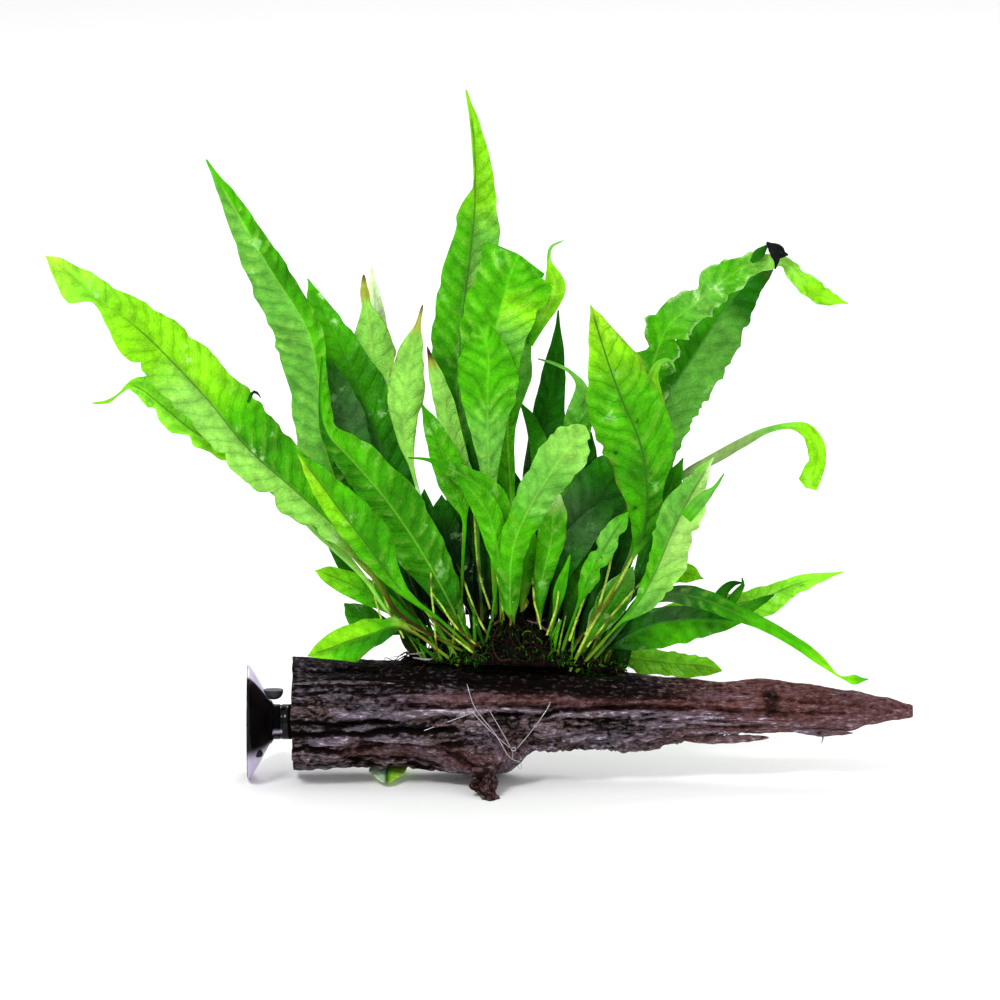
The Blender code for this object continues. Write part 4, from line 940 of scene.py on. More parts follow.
# Each leaf: line has points from root to tip as (x, height, half width), or with the half widths to the left
# and to the right. start is its depth at the root, lean how far it goes back for each mm, curl its extra depth
# at the tip, slopes those of its two halves. tones run from root to tip, rightTones are for a right half that
# has its own. notches are (side, share of the length, reach, depth), dots (share of the length, off the rib,
# radius) and lobes small blades that belong to it.
leaves = {
    "long_left": dict(
        line=[(-6, 21, 1), (-28, 34, 1), (-37, 48, 2, 2.5), (-46, 60, 4, 5), (-63, 76, 8.5, 11),
            (-81, 92, 9, 13), (-95, 109, 9.5, 12.5), (-112, 127, 10.5), (-122, 136, 9, 8.5),
            (-131.5, 142.6, 2.6, 6.5), (-134.6, 145.4, 3.4, 6.2), (-138, 148.4, 7.9, 5.6),
            (-143, 152.6, 5.6, 4), (-147.6, 156.4, 2.8, 2.4), (-150.8, 158.7, 0.8)], start=-12, lean=-0.26,
        curl=10, slopes=(-0.15, 0.3), slot="bright", tones="stalk brown*2 stalk pale*5 lime*2 spring sunlit",
        rightTones="stalk brown*2 grass fresh*2 grass fresh lime*3 spring sunlit", rib=-0.6, ribEnd=0.86,
        ruffle=0.6, ragged=0.2, blister=0.55, shine=0.5, spots=0.15, edge=0.1, notches=[(-1, 0.36, 0.01, 0.3),
            (-1, 0.45, 0.012, 0.35), (-1, 0.55, 0.008, 0.25), (-1, 0.76, 0.006, 0.2)],
        lobes=[dict(line=[(-81, 108, 1), (-79.4, 111.6, 0.9, 1.1), (-77.6, 111.2, 0.8), (-76.6, 109.6, 0.3)],
            start=-41, tones="forest deep*2")]),
    "pale_left": dict(
        line=[(-9, 24, 1), (-30, 33, 1), (-41, 47, 1.2, 1.5), (-56, 62.5, 2, 3), (-69, 76, 2.5, 4),
            (-86, 90, 3.4, 7), (-100, 98, 4.4, 9), (-110.5, 106.5, 4.6, 8.6), (-118, 112.5, 3, 5.6),
            (-122.5, 114, 1.8), (-126, 111.2, 0.7, 0.6), (-130, 108.4, 1.1), (-135.5, 107.9, 0.4)], start=-10,
        lean=-0.17, curl=6, slopes=(0.2, 0.2), slot="pale", tones="stalk*2 pale*3 mint lime spring*2 lime",
        rib=-0.5, ruffle=1.1, ragged=1.8, blister=0.35, notches=[(-1, 0.6, 0.012, 0.5), (-1, 0.75, 0.012, 0.5),
            (-1, 0.84, 0.01, 0.5)]),
    "bright_left": dict(
        line=[(-1, 20, 1), (-14, 32, 1), (-28, 43, 2, 2.5), (-40, 59, 5, 9), (-50, 72, 5, 7.5), (-58, 83, 3, 4),
            (-63.5, 90, 0.6)], start=-14, lean=-0.36, slopes=(0.1, 0.25), slot="bright",
        tones="stalk grass fresh*2 lime yellow", rightTones="stalk grass fresh grass fresh*2", rib=-0.6,
        ruffle=1.3, blister=0.4),
    "tall_left": dict(
        line=[(-18, 25, 1), (-40, 58, 5, 4), (-54, 90, 9, 5), (-57, 116, 10.5, 3.4), (-61, 134, 12, 5),
            (-74, 155, 8.5, 5.6), (-85, 174, 4.2, 3.8), (-96, 193, 0.6)], start=-4, lean=-0.04, curl=-6,
        slopes=(0.45, 0.3), slot="middle", tones="stalk forest grass*2 mint*5 fresh",
        rightTones="stalk deep forest*2 fresh*2 grass fresh*2", rib=0.4, ruffle=1.1, blister=0.7, bulge=0.8,
        lines=0.35, spots=0.1),
    "dark_left": dict(
        line=[(-14, 27, 1), (-24, 55, 3), (-31, 80, 8), (-38, 100, 11, 10.5), (-47, 122, 9.5, 8),
            (-56, 141, 5, 3.5), (-61, 152, 0.6)], start=3, lean=0.12, slopes=(-0.1, 0.2), slot="dark",
        tones="olive deep*2 forest greyGreen forest grass fresh*2",
        rightTones="olive deep*2 forest*2 grass*2 fresh*2", rib=-0.3, ruffle=0.9, blister=0.5, shine=0.8),
    "shaded_left": dict(
        line=[(-16, 24, 1), (-30, 62, 2), (-43, 90, 5.5), (-47, 103, 6), (-52, 116, 4.5), (-56, 125, 0.6)],
        start=0, lean=0.03, slot="dark", tones="olive deep greyGreen forest greyGreen forest", rib=0.2,
        ruffle=0.5),
    "broad_left": dict(
        line=[(-5, 26, 1), (-13, 42, 5, 6), (-22, 58, 9), (-33, 74, 8, 10), (-45, 88, 5.5, 8), (-53, 97, 3, 4),
            (-56, 108, 1.2, 1.5), (-55.5, 124, 0.5)], start=-6, lean=-0.18, slopes=(0.2, 0.2), slot="middle",
        tones="stalk forest grass*3 forest*2", rightTones="stalk forest grass*2 fresh*2 grass", rib=0.4,
        ruffle=1.2, blister=0.5, shine=0.4, edge=0.1),
    "low_left": dict(
        line=[(-20, 30, 1), (-30, 36, 2.5), (-42, 43, 4.5), (-52, 47.5, 3.5), (-58, 49.5, 1)], start=-8,
        lean=-0.14, slopes=(0.1, 0.1), slot="bright", tones="forest grass fresh lime", rib=-0.4, ruffle=0.6),
    "small_left": dict(
        line=[(-22, 27, 1), (-34, 30, 3), (-42, 33, 5), (-48, 38, 1)], start=-1.8, slopes=(0.1, -0.1),
        slot="dark", tones="forest*2 grass*2", rib=-0.2),
    "narrow_left": dict(
        line=[(-19, 28, 1), (-38, 40, 1.5), (-47, 50, 2.5), (-52, 60, 2.5), (-56, 67, 0.6)], start=5, lean=0.04,
        slot="dark", tones="forest*3 grass", rib=0.1),
    "front_left": dict(
        line=[(-14, 21, 1), (-22, 27, 1), (-30, 30, 2.6, 3.5), (-38, 27.5, 4.6, 5.5), (-46, 25, 7.4, 5.5),
            (-54, 22, 3.5, 4), (-60.5, 20, 1)], start=-12.8, lean=-0.2, slopes=(-0.1, 0.4), slot="bright",
        tones="stalk*2 brown forest grass fresh lime", rightTones="stalk*2 straw fresh lime*3", rib=-0.5,
        ruffle=0.8, edge=0.25, notches=[(-1, 0.42, 0.03, 0.6), (1, 0.36, 0.02, 0.5), (1, 0.5, 0.02, 0.25)]),
    "pale_back": dict(
        line=[(-12, 30, 1), (-22, 60, 1.2), (-32, 88, 2.5), (-36.5, 108, 3.4), (-38, 118, 6.3),
            (-38.7, 127, 8, 8.2), (-39.5, 136, 4.6, 5.4), (-40.6, 141.5, 2, 2.3), (-41.3, 147.5, 1.9),
            (-41.5, 153.5, 1)], start=8, lean=0.18, slopes=(0.1, 0.1), slot="pale",
        tones="stalk*6 pale*14 mint*2 pale*4 white*2 pale*8 straw*2 brown", rib=0.7, ruffle=0.9, blister=0.3,
        edge=0.6, tip=0.7),
    "faint_back": dict(
        line=[(-14, 29, 1), (-24, 62, 1.2), (-32, 92, 4), (-36, 112, 5), (-36.5, 130, 4), (-38, 146, 2.5),
            (-39, 157, 0.6)], start=12, lean=0.26, slopes=(0.1, 0.1), slot="pale",
        tones="stalk pale white pale white*2", rib=0.2, ruffle=0.4),
    "pale_pointed": dict(
        line=[(-10, 31, 1), (-17, 60, 1.1), (-24, 84, 1.2, 1.3), (-26.8, 99, 3.9), (-26.5, 113, 6.8, 6.6),
            (-24.4, 126, 4.6, 4.2), (-22.3, 135, 1.6), (-20.6, 142.5, 0.8)], start=-1, lean=0.03,
        slopes=(0.1, 0.1), slot="pale", tones="stalk*6 pale*8 white*2 pale*14 straw*2 brown", rib=0.3,
        ruffle=0.7, edge=0.7),
    "bright_narrow": dict(
        line=[(-7.5, 32, 1), (-6.5, 52, 1), (-6, 68, 1.5), (-10, 79, 4.5, 6), (-14, 90, 4, 6),
            (-18, 101, 2.5, 3), (-21, 108, 0.6)], start=-4, lean=-0.07, slopes=(0.1, 0.1), slot="bright",
        tones="stalk*2 grass fresh*3 grass", rib=-0.4, ruffle=0.7),
    "pale_narrow": dict(
        line=[(0, 38, 1), (-1, 56, 1), (-2.5, 74, 1.5), (-9, 91, 4), (-13, 108, 3.5), (-17, 121, 2),
            (-19, 128, 0.6)], start=1, lean=0.02, slopes=(0.1, 0.1), slot="pale",
        tones="stalk*4 greyGreen*2 mint*12 pale*14 straw brown*2", rib=0.3, ruffle=0.4),
    "inner_left": dict(
        line=[(-3, 33, 1), (-8, 50, 5), (-13, 64, 6), (-14, 76, 1)], start=3, lean=0.05, slot="dark",
        tones="deep*3 forest", lobes=[dict(line=[(-5, 34, 1.2), (-4.5, 60, 2, 2.5), (-4, 80, 4), (-3, 100, 1)],
            start=7, tones="deep*3 forest"), dict(line=[(-20, 30, 2), (-24, 48, 5), (-30, 66, 1)], start=6,
            tones="deep forest deep"), dict(line=[(-12, 31, 2), (-15, 48, 5, 4), (-19, 66, 5, 4), (-20, 78, 1)],
            start=5, tones="deep*2 forest")]),
    "tallest": dict(
        line=[(-4, 35, 1), (-7, 60, 1.5), (-9, 82, 5), (-8.5, 102, 7), (-7.8, 123, 10, 7), (-6.6, 139, 9.8, 8),
            (-5, 152, 9.4, 8.6), (-3.1, 168, 6.6, 9.4), (-2.4, 177, 5.2, 8.2), (-2.2, 185, 1.2, 7),
            (-2.4, 196, 1.4, 4.8), (-3.4, 207, 1.2, 2.8), (-5.4, 218.5, 0.6)], start=6, lean=0.13, curl=-6,
        slopes=(0.45, 0.4), slot="middle", tones="stalk*2 forest*2 grass*3 fresh*3 lime*3",
        rightTones="stalk*2 forest*3 grass mint*2 pale*3 mint lime*4", rib=-0.6, ruffle=1.6, blister=0.8,
        spots=0.1),
    "front_centre": dict(
        line=[(5, 37, 1), (4, 60, 1.5), (2.8, 82, 3), (2.2, 99, 6.2, 6), (2.4, 114, 9.6, 9),
            (3.9, 127, 11.8, 10), (6.2, 138.5, 12.6, 12), (9.2, 149.5, 11.6, 14.5), (10.8, 155, 12, 12.5),
            (13, 159.6, 12.6, 0.8)], start=-3, lean=-0.05, slopes=(0.15, 0.15), slot="bright",
        tones="stalk*2 fresh*2 grass fresh*4",
        rightTones="stalk*2 fresh*2 forest*2 grass fresh*4 mint lime fresh*2", rib=0.25, ruffle=1, blister=0.6,
        bulge=0.9, lines=0.45, tip=0.6, lobes=[dict(line=[(4.6, 40, 1), (3.6, 60, 1.5), (2.8, 82, 3),
            (2.2, 99, 6.2, 6.5), (2.2, 114, 10.2, 10.5), (2.6, 124, 10.6, 8), (1.2, 131, 7.5, 5),
            (-2, 136.5, 0.6)], start=-5.4, lean=-0.05, tones="stalk fresh*2 mint*2 fresh*3", tip=1.6)]),
    "folded_centre": dict(
        line=[(10, 37, 1), (11, 60, 1.5, 1.2), (10, 80, 4, 2), (9, 100, 5, 3), (9.5, 118, 9, 8),
            (9, 136, 10, 9), (8.6, 146, 10, 12), (9.7, 154.5, 11, 12), (12.7, 160.4, 11.8, 11.6)], start=2,
        lean=0.02, curl=4, slopes=(0.15, 0.1), slot="middle", tones="stalk*2 grass fresh*5",
        rightTones="stalk*2 fresh*3 mint fresh*2", rib=0.6, ruffle=0.9, blister=0.6, lines=0.35, tip=0.6,
        lobes=[dict(line=[(17, 128.5, 1.5), (20.8, 136.5, 3, 2.2), (24.4, 144, 4, 3.2), (25.8, 149.4, 4, 3.8),
            (24.4, 154.8, 2, 2.3), (23.6, 158.9, 1.1), (24.6, 163, 0.9), (28.9, 165.2, 0.3)], start=6.5,
            tones="fresh*2 lime*4 mint pale")]),
    "dark_centre": dict(
        line=[(16, 36, 1), (17, 58, 1.5), (17, 76, 3, 6), (20, 95, 3.6, 9), (24, 112, 4.5, 5.5),
            (26.5, 128, 2.5), (27, 141, 0.6)], start=10, lean=0.14, slopes=(0.1, 0.1), slot="dark",
        tones="olive deep forest greyGreen forest*3", rib=-0.2, ruffle=0.7, blister=0.4),
    "middle_centre": dict(
        line=[(18, 35, 1), (20, 60, 2), (21, 80, 2.6, 4.5), (17, 98, 1.4, 4.5), (13.5, 109, 0.5, 0.6)], start=7,
        lean=0.06, slopes=(0.1, 0.1), slot="dark", tones="deep forest*2 grass forest", ruffle=0.6),
    "inner_centre": dict(
        line=[(9, 37, 1), (9, 56, 4), (9.5, 74, 6), (8, 90, 1)], start=7, lean=0.05, slot="dark",
        tones="deep*2 forest deep", lobes=[dict(line=[(2, 38, 2), (0.5, 56, 4), (1.5, 78, 5), (4, 96, 1)],
            start=6, tones="deep forest deep*2"), dict(line=[(16, 34, 2), (20, 50, 4.5), (23, 68, 1)], start=2,
            tones="deep forest grass")]),
    "tendril": dict(
        line=[(24, 33, 1), (28, 60, 1.2), (31, 84, 3), (34, 102, 5), (35, 113, 2.4), (31.6, 118.6, 1.2),
            (26, 121.8, 0.9), (19.8, 123.7, 0.5)], start=4, lean=0.03, slot="middle",
        tones="olive stalk grass*3 mint*2", ruffle=0.5),
    "bright_right": dict(
        line=[(34, 21, 1), (41, 35, 1), (47, 45, 1), (53, 55, 1.5), (57, 66, 5, 4), (57.5, 81, 10, 7),
            (55, 95, 13, 12.5), (49, 109, 12.5, 13), (43.5, 124, 6.5, 9.5), (38, 142, 0.6)], start=-13,
        lean=-0.16, curl=6, slopes=(0.12, 0.12), slot="bright",
        tones="stalk*3 grass fresh grass fresh*2 lime yellow", rightTones="stalk*3 grass*2 fresh*2 lime yellow",
        rib=-0.85, ruffle=1.1, blister=0.5, lines=0.4, spots=0.35, edge=0.5, dots=[(0.5, 9, 0.7),
            (0.62, -9, 0.8), (0.55, 2, 0.6), (0.68, 1.5, 0.6), (0.72, -7, 0.6), (0.46, -4, 0.6)]),
    "curl_right": dict(
        line=[(44, 27, 1), (54, 62, 1.2), (60, 86, 3), (61, 105, 3), (60, 116, 2.2), (62, 122, 1.5),
            (66, 123, 1), (68, 119, 0.4)], start=3, lean=-0.06, slot="bright",
        tones="olive fresh*2 mint pale lime mint", rib=-0.2, ruffle=0.5),
    "upper_right": dict(
        line=[(38, 27, 1), (48, 56, 2), (57, 84, 6, 8), (64, 107, 7, 11.5), (76, 127, 8, 12.5), (90, 147, 6, 8),
            (99, 156, 3, 4), (104, 160, 1)], start=4, lean=0.17, slopes=(0.3, 0.35), slot="dark",
        tones="olive deep forest*3 grass*2 forest", rightTones="olive*2 forest*2 mint*9 forest*2 brown",
        rib=0.3, ruffle=1.2, ragged=1, blister=0.6, spots=0.25, lobes=[dict(line=[(99.8, 164.4, 0.7),
            (102.4, 162.4, 2.2, 2.5), (105, 160.6, 2.2, 2.4), (107.4, 160, 0.5)], start=0.5, tones="black*3"),
            dict(line=[(101, 163, 0.6), (102.6, 160.6, 2), (103.2, 158, 1.6, 1.4), (102.8, 155, 0.5, 0.4)],
            start=-0.5, tones="black*3"), dict(line=[(94.5, 157.5, 1.2), (97.3, 160.4, 2.2, 2),
            (100.8, 164, 0.6)], start=3, tones="forest*2 deep")]),
    "wavy_right": dict(
        line=[(35, 28, 1), (46, 60, 1.5), (54, 88, 4), (58, 107, 6), (60, 121, 7), (65.5, 135, 7.5),
            (75, 143, 6.5), (84.5, 151, 6), (94, 156.5, 4), (105, 157.5, 2.5), (111.5, 152, 3.5),
            (119, 146, 3.5), (128.5, 143, 0.6)], start=1, lean=0.05, curl=-4, slopes=(0.1, 0), slot="pale",
        tones="olive grass fresh*2 grass fresh grass*2 fresh mint fresh pale lime*2", rib=0.3, ruffle=1.9,
        ragged=2.4, blister=0.4, shine=0.8, edge=-0.45, notches=[(1, 0.52, 0.012, 0.4), (1, 0.6, 0.01, 0.4),
            (-1, 0.46, 0.01, 0.4), (-1, 0.57, 0.012, 0.5), (-1, 0.7, 0.012, 0.5), (1, 0.86, 0.012, 0.4),
            (-1, 0.9, 0.01, 0.35)]),
    "ribbon_right": dict(
        line=[(40, 26, 1), (52, 55, 1), (62, 76, 1.4), (72, 83.7, 1.8), (81.7, 88.9, 2.1), (92, 94.7, 2),
            (99.8, 98.6, 1.6), (107.6, 100.2, 1.6, 1.7), (113.6, 98.8, 2.3, 2.8), (117, 93.4, 3, 3.4),
            (116.8, 87, 3.3, 3.5), (115.2, 82, 3.6, 3.7), (113.2, 78.6, 3.8, 3.7)], start=-1.5, lean=-0.02,
        curl=-8, slopes=(0.1, 0.1), slot="bright", tones="olive forest greyGreen*2 hatch*6 mint lime*3",
        ruffle=0.7, tip=0.7, notches=[(1, 0.93, 0.008, 0.3)]),
    "torn_right": dict(
        line=[(40, 22, 1), (48, 31, 1), (55, 39, 2, 5), (61, 50, 3.5, 9), (65.5, 61, 6, 8.4),
            (70.5, 71.5, 6.4, 8), (75.5, 80.5, 4.6, 3.4), (80.8, 89, 0.8)], start=-11, lean=-0.3,
        slopes=(0.1, 0.2), slot="bright", tones="stalk*2 grass fresh*2 mint*2 pale",
        rightTones="stalk*2 fresh mint pale milky*3 white", rib=-0.5, ruffle=1, ragged=1.4, blister=0.4,
        spots=0.3, notches=[(-1, 0.9, 0.012, 0.35), (1, 0.7, 0.02, 0.25), (1, 0.97, 0.02, 0.4)],
        lobes=[dict(line=[(71, 68, 2.4), (76.5, 74.5, 2.2, 2.4), (81, 78.5, 1.3), (84.4, 83.4, 0.4)], start=-37,
            tones="fresh mint fresh")]),
    "strip_right": dict(
        line=[(41, 28, 1, 1.2), (53, 46, 1.5, 4.2), (59, 60, 3, 5.4), (64, 73, 4, 5), (67.5, 82, 3),
            (70.5, 89, 0.6)], start=-4.5, lean=-0.08, slot="dark", tones="olive deep forest*2 grass", rib=0.2),
    "shaded_right": dict(
        line=[(26, 31, 1), (30, 50, 5), (34, 65, 9), (42, 77, 10), (48, 86, 7), (52, 93, 1)], start=-1,
        slopes=(0.1, 0.1), slot="dark", tones="deep forest*2 greyGreen forest grass", rib=-0.2, ruffle=0.7,
        blister=0.5, lobes=[dict(line=[(28, 34, 3), (36, 54, 6), (43, 74, 6), (46, 90, 1)], start=8,
            tones="deep forest deep forest"), dict(line=[(36, 30, 3), (45, 46, 5), (51, 62, 5), (56, 74, 1)],
            start=4, tones="deep*2 forest*2"), dict(line=[(20, 38, 3), (26, 58, 5), (31, 76, 5), (33, 88, 1)],
            start=11, tones="deep forest deep*2")]),
    "shaded_middle": dict(
        line=[(23, 29, 1), (28, 48, 3), (34, 60, 5), (41, 68, 4), (47, 73, 1)], start=-6, lean=-0.08,
        slot="dark", tones="deep*2 forest greyGreen forest", ruffle=0.5, lobes=[dict(line=[(30, 29, 2),
            (34, 44, 4), (38, 58, 1)], start=-3, tones="deep grass forest"), dict(line=[(31, 58, 3),
            (36, 80, 5), (38.5, 98, 1)], start=9, tones="deep*2 forest")]),
    "root_right": dict(
        line=[(36, 23, 1), (42, 33, 4.5), (48, 42, 5), (53, 51, 1)], start=-9, lean=-0.06, slopes=(0.1, 0.1),
        slot="middle", tones="olive grass*2 mint", rib=0.2, ruffle=0.6, edge=-0.35),
    "small_front": dict(
        line=[(29, 24, 1), (33.5, 37, 1), (37.5, 47, 3.4), (42, 56, 3.8), (47, 64, 3.4), (51, 70, 1.2)],
        start=-14, lean=-0.34, slopes=(0.2, 0.2), slot="bright", tones="stalk grass*2 fresh mint fresh",
        rib=-0.3, ruffle=1, ragged=1.6, spots=0.6, notches=[(-1, 0.72, 0.03, 0.5), (1, 0.62, 0.03, 0.45),
            (1, 0.85, 0.03, 0.5)]),
    "dark_low_right": dict(
        line=[(44, 22, 1), (52, 27, 3.5, 6), (62, 31, 5.5, 8.5), (74, 32.5, 4.5, 7.5), (84, 32, 3, 4),
            (92, 31.5, 0.6)], start=-2, slopes=(0.1, -0.1), slot="dark",
        tones="olive deep forest greyGreen forest*2", rightTones="olive forest grass fresh grass fresh",
        rib=0.3, ruffle=0.8, blister=0.5),
    "ribbon_low_right": dict(
        line=[(45, 25, 1), (54, 35, 1), (64, 41, 2.5), (76, 40, 3.6), (90, 34.2, 3, 2.6), (101, 29.4, 2.3, 2.2),
            (112, 22.8, 2.2, 2.1), (119, 17.4, 1.8, 1.7), (123.4, 13.6, 0.8), (125.6, 12.4, 0.7),
            (130, 11.5, 2), (134.9, 11.7, 0.5)], start=-8, lean=-0.12, slopes=(0.2, -0.1), slot="middle",
        tones="stalk greyGreen forest greyGreen forest grass fresh*2 lime fresh", rib=0.1, ruffle=0.7),
    "bright_low_right": dict(
        line=[(45, 23, 1), (60, 33, 2), (76, 37, 3.5), (88, 37.5, 4, 5), (99, 40, 4, 6.5), (110, 44.5, 3, 3.5),
            (119, 47, 2), (127, 49, 0.6)], start=6.5, lean=0.08, slopes=(0.1, -0.1), slot="bright",
        tones="olive lime spring lime spring*3", rib=-0.4, ruffle=0.8, ragged=1.4, blister=0.3, spots=0.2,
        lobes=[dict(line=[(82, 38, 2.2, 2.6), (84.5, 42.6, 1.8, 2.4), (88, 45, 1.5, 1.8), (91.5, 45.2, 0.5)],
            start=5.2, tones="grass forest deep"), dict(line=[(86, 37, 2), (89, 41, 1.8, 2), (91.6, 44.4, 1.2),
            (91.2, 47, 0.4)], start=4.6, tones="forest grass forest"), dict(line=[(87, 35, 1.5, 2.2),
            (93, 37, 1.8, 2.8), (98.5, 39.4, 1.5, 2), (102.5, 41, 0.5, 0.6)], start=4.2,
            tones="forest grass forest")]),
    "tip_low_right": dict(
        line=[(42, 22, 1), (56, 41, 1.2), (66, 47, 2.5), (72, 48.5, 3.5), (78, 46.5, 0.6)], start=10, lean=0.16,
        slot="bright", tones="olive fresh*2 lime", rib=-0.2),
    "low_right": dict(
        line=[(38, 19, 1), (48, 19.3, 2.5), (56, 18, 4.4, 4.6), (66, 16.9, 4.1, 4.6), (75, 16.2, 3.4, 3.9),
            (80, 15.6, 2.7, 2.9), (84.3, 14.2, 1.2)], start=13, lean=0.02, slopes=(0.3, -0.05), slot="bright",
        tones="lime spring*5 lime", rib=-0.2, ruffle=0.5, ragged=2, spots=0.25, paintedShadeShare=0.1),
    "blunt_front": dict(
        line=[(11, 31, 1.2), (10, 40, 3.4), (11, 57, 4.8), (16.5, 71, 6.2), (25, 85, 7.4), (31, 93, 7.5),
            (36, 100, 4)], start=-13, lean=-0.3, slopes=(0.2, 0.2), slot="bright",
        tones="stalk grass*2 fresh*2 mint*2 pale*2", rib=0.4, ruffle=0.9, ragged=1, blister=0.6, tip=3,
        notches=[(-1, 0.96, 0.01, 0.3), (1, 0.95, 0.012, 0.35)]),
    "cut_front": dict(
        line=[(20, 31, 1.2), (21, 45, 3), (24, 58, 4.5), (25, 68, 5), (24, 77, 3.5)], start=-9, lean=-0.12,
        slopes=(0.1, 0.1), slot="bright", tones="stalk*2 grass*4 fresh*4 milky white", rib=0.3, ruffle=0.6,
        blister=0.3, tip=1),
    "thin_left_centre": dict(
        line=[(4, 34, 1), (6, 52, 1.5), (6.5, 68, 4), (3, 76, 5), (-7, 83, 3.5), (-18, 88, 1.2),
            (-25.5, 89, 0.5)], start=-8, lean=-0.1, slopes=(0.1, 0.1), slot="middle",
        tones="stalk grass*2 fresh grass*2", rib=0.3, ruffle=0.6),
    "thin_centre": dict(
        line=[(7, 32, 1), (7, 48, 2), (5, 60, 4), (2, 70, 4.5), (-4, 78, 3), (-9, 82, 0.6)], start=-11,
        lean=-0.16, slopes=(0.1, 0.1), slot="bright", tones="stalk grass fresh*2 grass", rib=0.2, ruffle=0.6),
    "young_one": dict(
        line=[(14, 34, 1), (15, 48, 3), (17, 60, 2.5), (17.5, 66, 0.6)], start=-7, lean=-0.02, slot="middle",
        tones="stalk grass fresh"),
    "young_two": dict(
        line=[(25, 31, 1), (27.5, 43, 2.2), (31, 55, 0.8)], start=-12, lean=-0.15, slot="middle",
        tones="stalk grass fresh"),
}


# sunlit and spring are extra bright tones that stand in for light on leaves lying in shade, as painted light;
# deep is the tone of blades deep in shade, as painted shade
greens = dict(
    lime=(0.24, 0.72, 0.006), yellow=(0.38, 0.80, 0.018), fresh=(0.065, 0.42, 0.001),
    grass=(0.032, 0.25, 0.001), forest=(0.012, 0.14, 0.001), deep=(0.003, 0.035, 0.001),
    mint=(0.13, 0.44, 0.045), pale=(0.26, 0.64, 0.08), white=(0.66, 0.86, 0.46), sunlit=(0.50, 0.95, 0.05),
    olive=(0.08, 0.12, 0.008), brown=(0.05, 0.024, 0.006), straw=(0.33, 0.36, 0.04), hatch=(0.20, 0.33, 0.09),
    milky=(0.36, 0.70, 0.13), spring=(0.29, 0.92, 0.03), black=(0.006, 0.006, 0.006),
    greyGreen=(0.05, 0.14, 0.035), stalk=(0.19, 0.34, 0.018),
)
blade = dict(
    rowStep=1.2, columnStep=1.3,                # mm between points of a leaf
    columns=(3, 12),                            # fewest and most on each side of the midrib
    fineSteps=601, lowSteps=200,                # steps a leaf's length is measured in, and those near its root
    firstSeed=100, seedStep=10,
    halfThickness=0.17, ribSwell=0.34, ribWidth=0.55,
    wave=12.0, veinStep=6.0, veinSlant=0.9,     # mm between ruffles, between side veins, how fast those run on
    sink=4.0,                                   # how far a stalk starts below the top of the roots
    footReach=12.0,                             # how far it is drawn out downward for that
    sharpDeg=60,
    # what a leaf has where its own row says nothing
    usual=dict(
        lean=0, curl=0, slopes=(0, 0),
        tip=1.6,                                # mm that the tip is rounded over
        ragged=0, ruffle=0.4, blister=0.25,     # torn edge, wavy margin, swellings between the side veins
        rib=0, ribEnd=1.1, valley=2.2,          # pale rib above 0, dark fold below, where it ends, width of the fold's painted shade
        spots=0, edge=0,                        # brown spots, and an edge that is brown above 0 and pale below
        bulge=0.5, shine=0.3, lines=0.15,       # painted highlight on swellings, painted glints, dark side veins
        paintedShadeShare=1.0,                            # how much of the painted shade low in the middle falls on it
        notches=[], dots=[], lobes=[]),
    # roughness of each kind of leaf, and the colour of its painted highlights and pale veins
    looks=dict(bright=(0.36,), middle=(0.36,), dark=(0.40, (0.10, 0.30, 0.10)), pale=(0.42,)),
)


def toneAt(names, share):
    # names may carry a count, as in mint*4
    parts = [(part + "*1").split("*")[:2] for part in names.split()]
    table = np.array([greens[name] for name, count in parts for _ in range(int(count))])
    places = np.linspace(0, 1, len(table))
    return np.stack([np.interp(share, places, column) for column in table.T], -1)


def halfWidths(leaf, sign, width, gone, share, isBlade, seed):
    # one half's width with its uneven edge, its nicks and its tip
    uneven = noise(gone / 3.6, 20 + sign * 3, seed)
    uneven = uneven + leaf["ragged"] * (noise(gone / 1.9, 30 + sign * 3, seed) - 0.5)
    width = width * (1 + isBlade * 0.14 * (uneven - 0.5))
    for side, place, reach, depth in leaf["notches"]:
        if side == sign:
            width = width * (1 - depth * hump(share - place, reach))
    width = width * np.sqrt(np.clip((gone[-1] - gone) / leaf["tip"], 0.02, 1))
    return np.maximum(width, 0.12)[:, None]


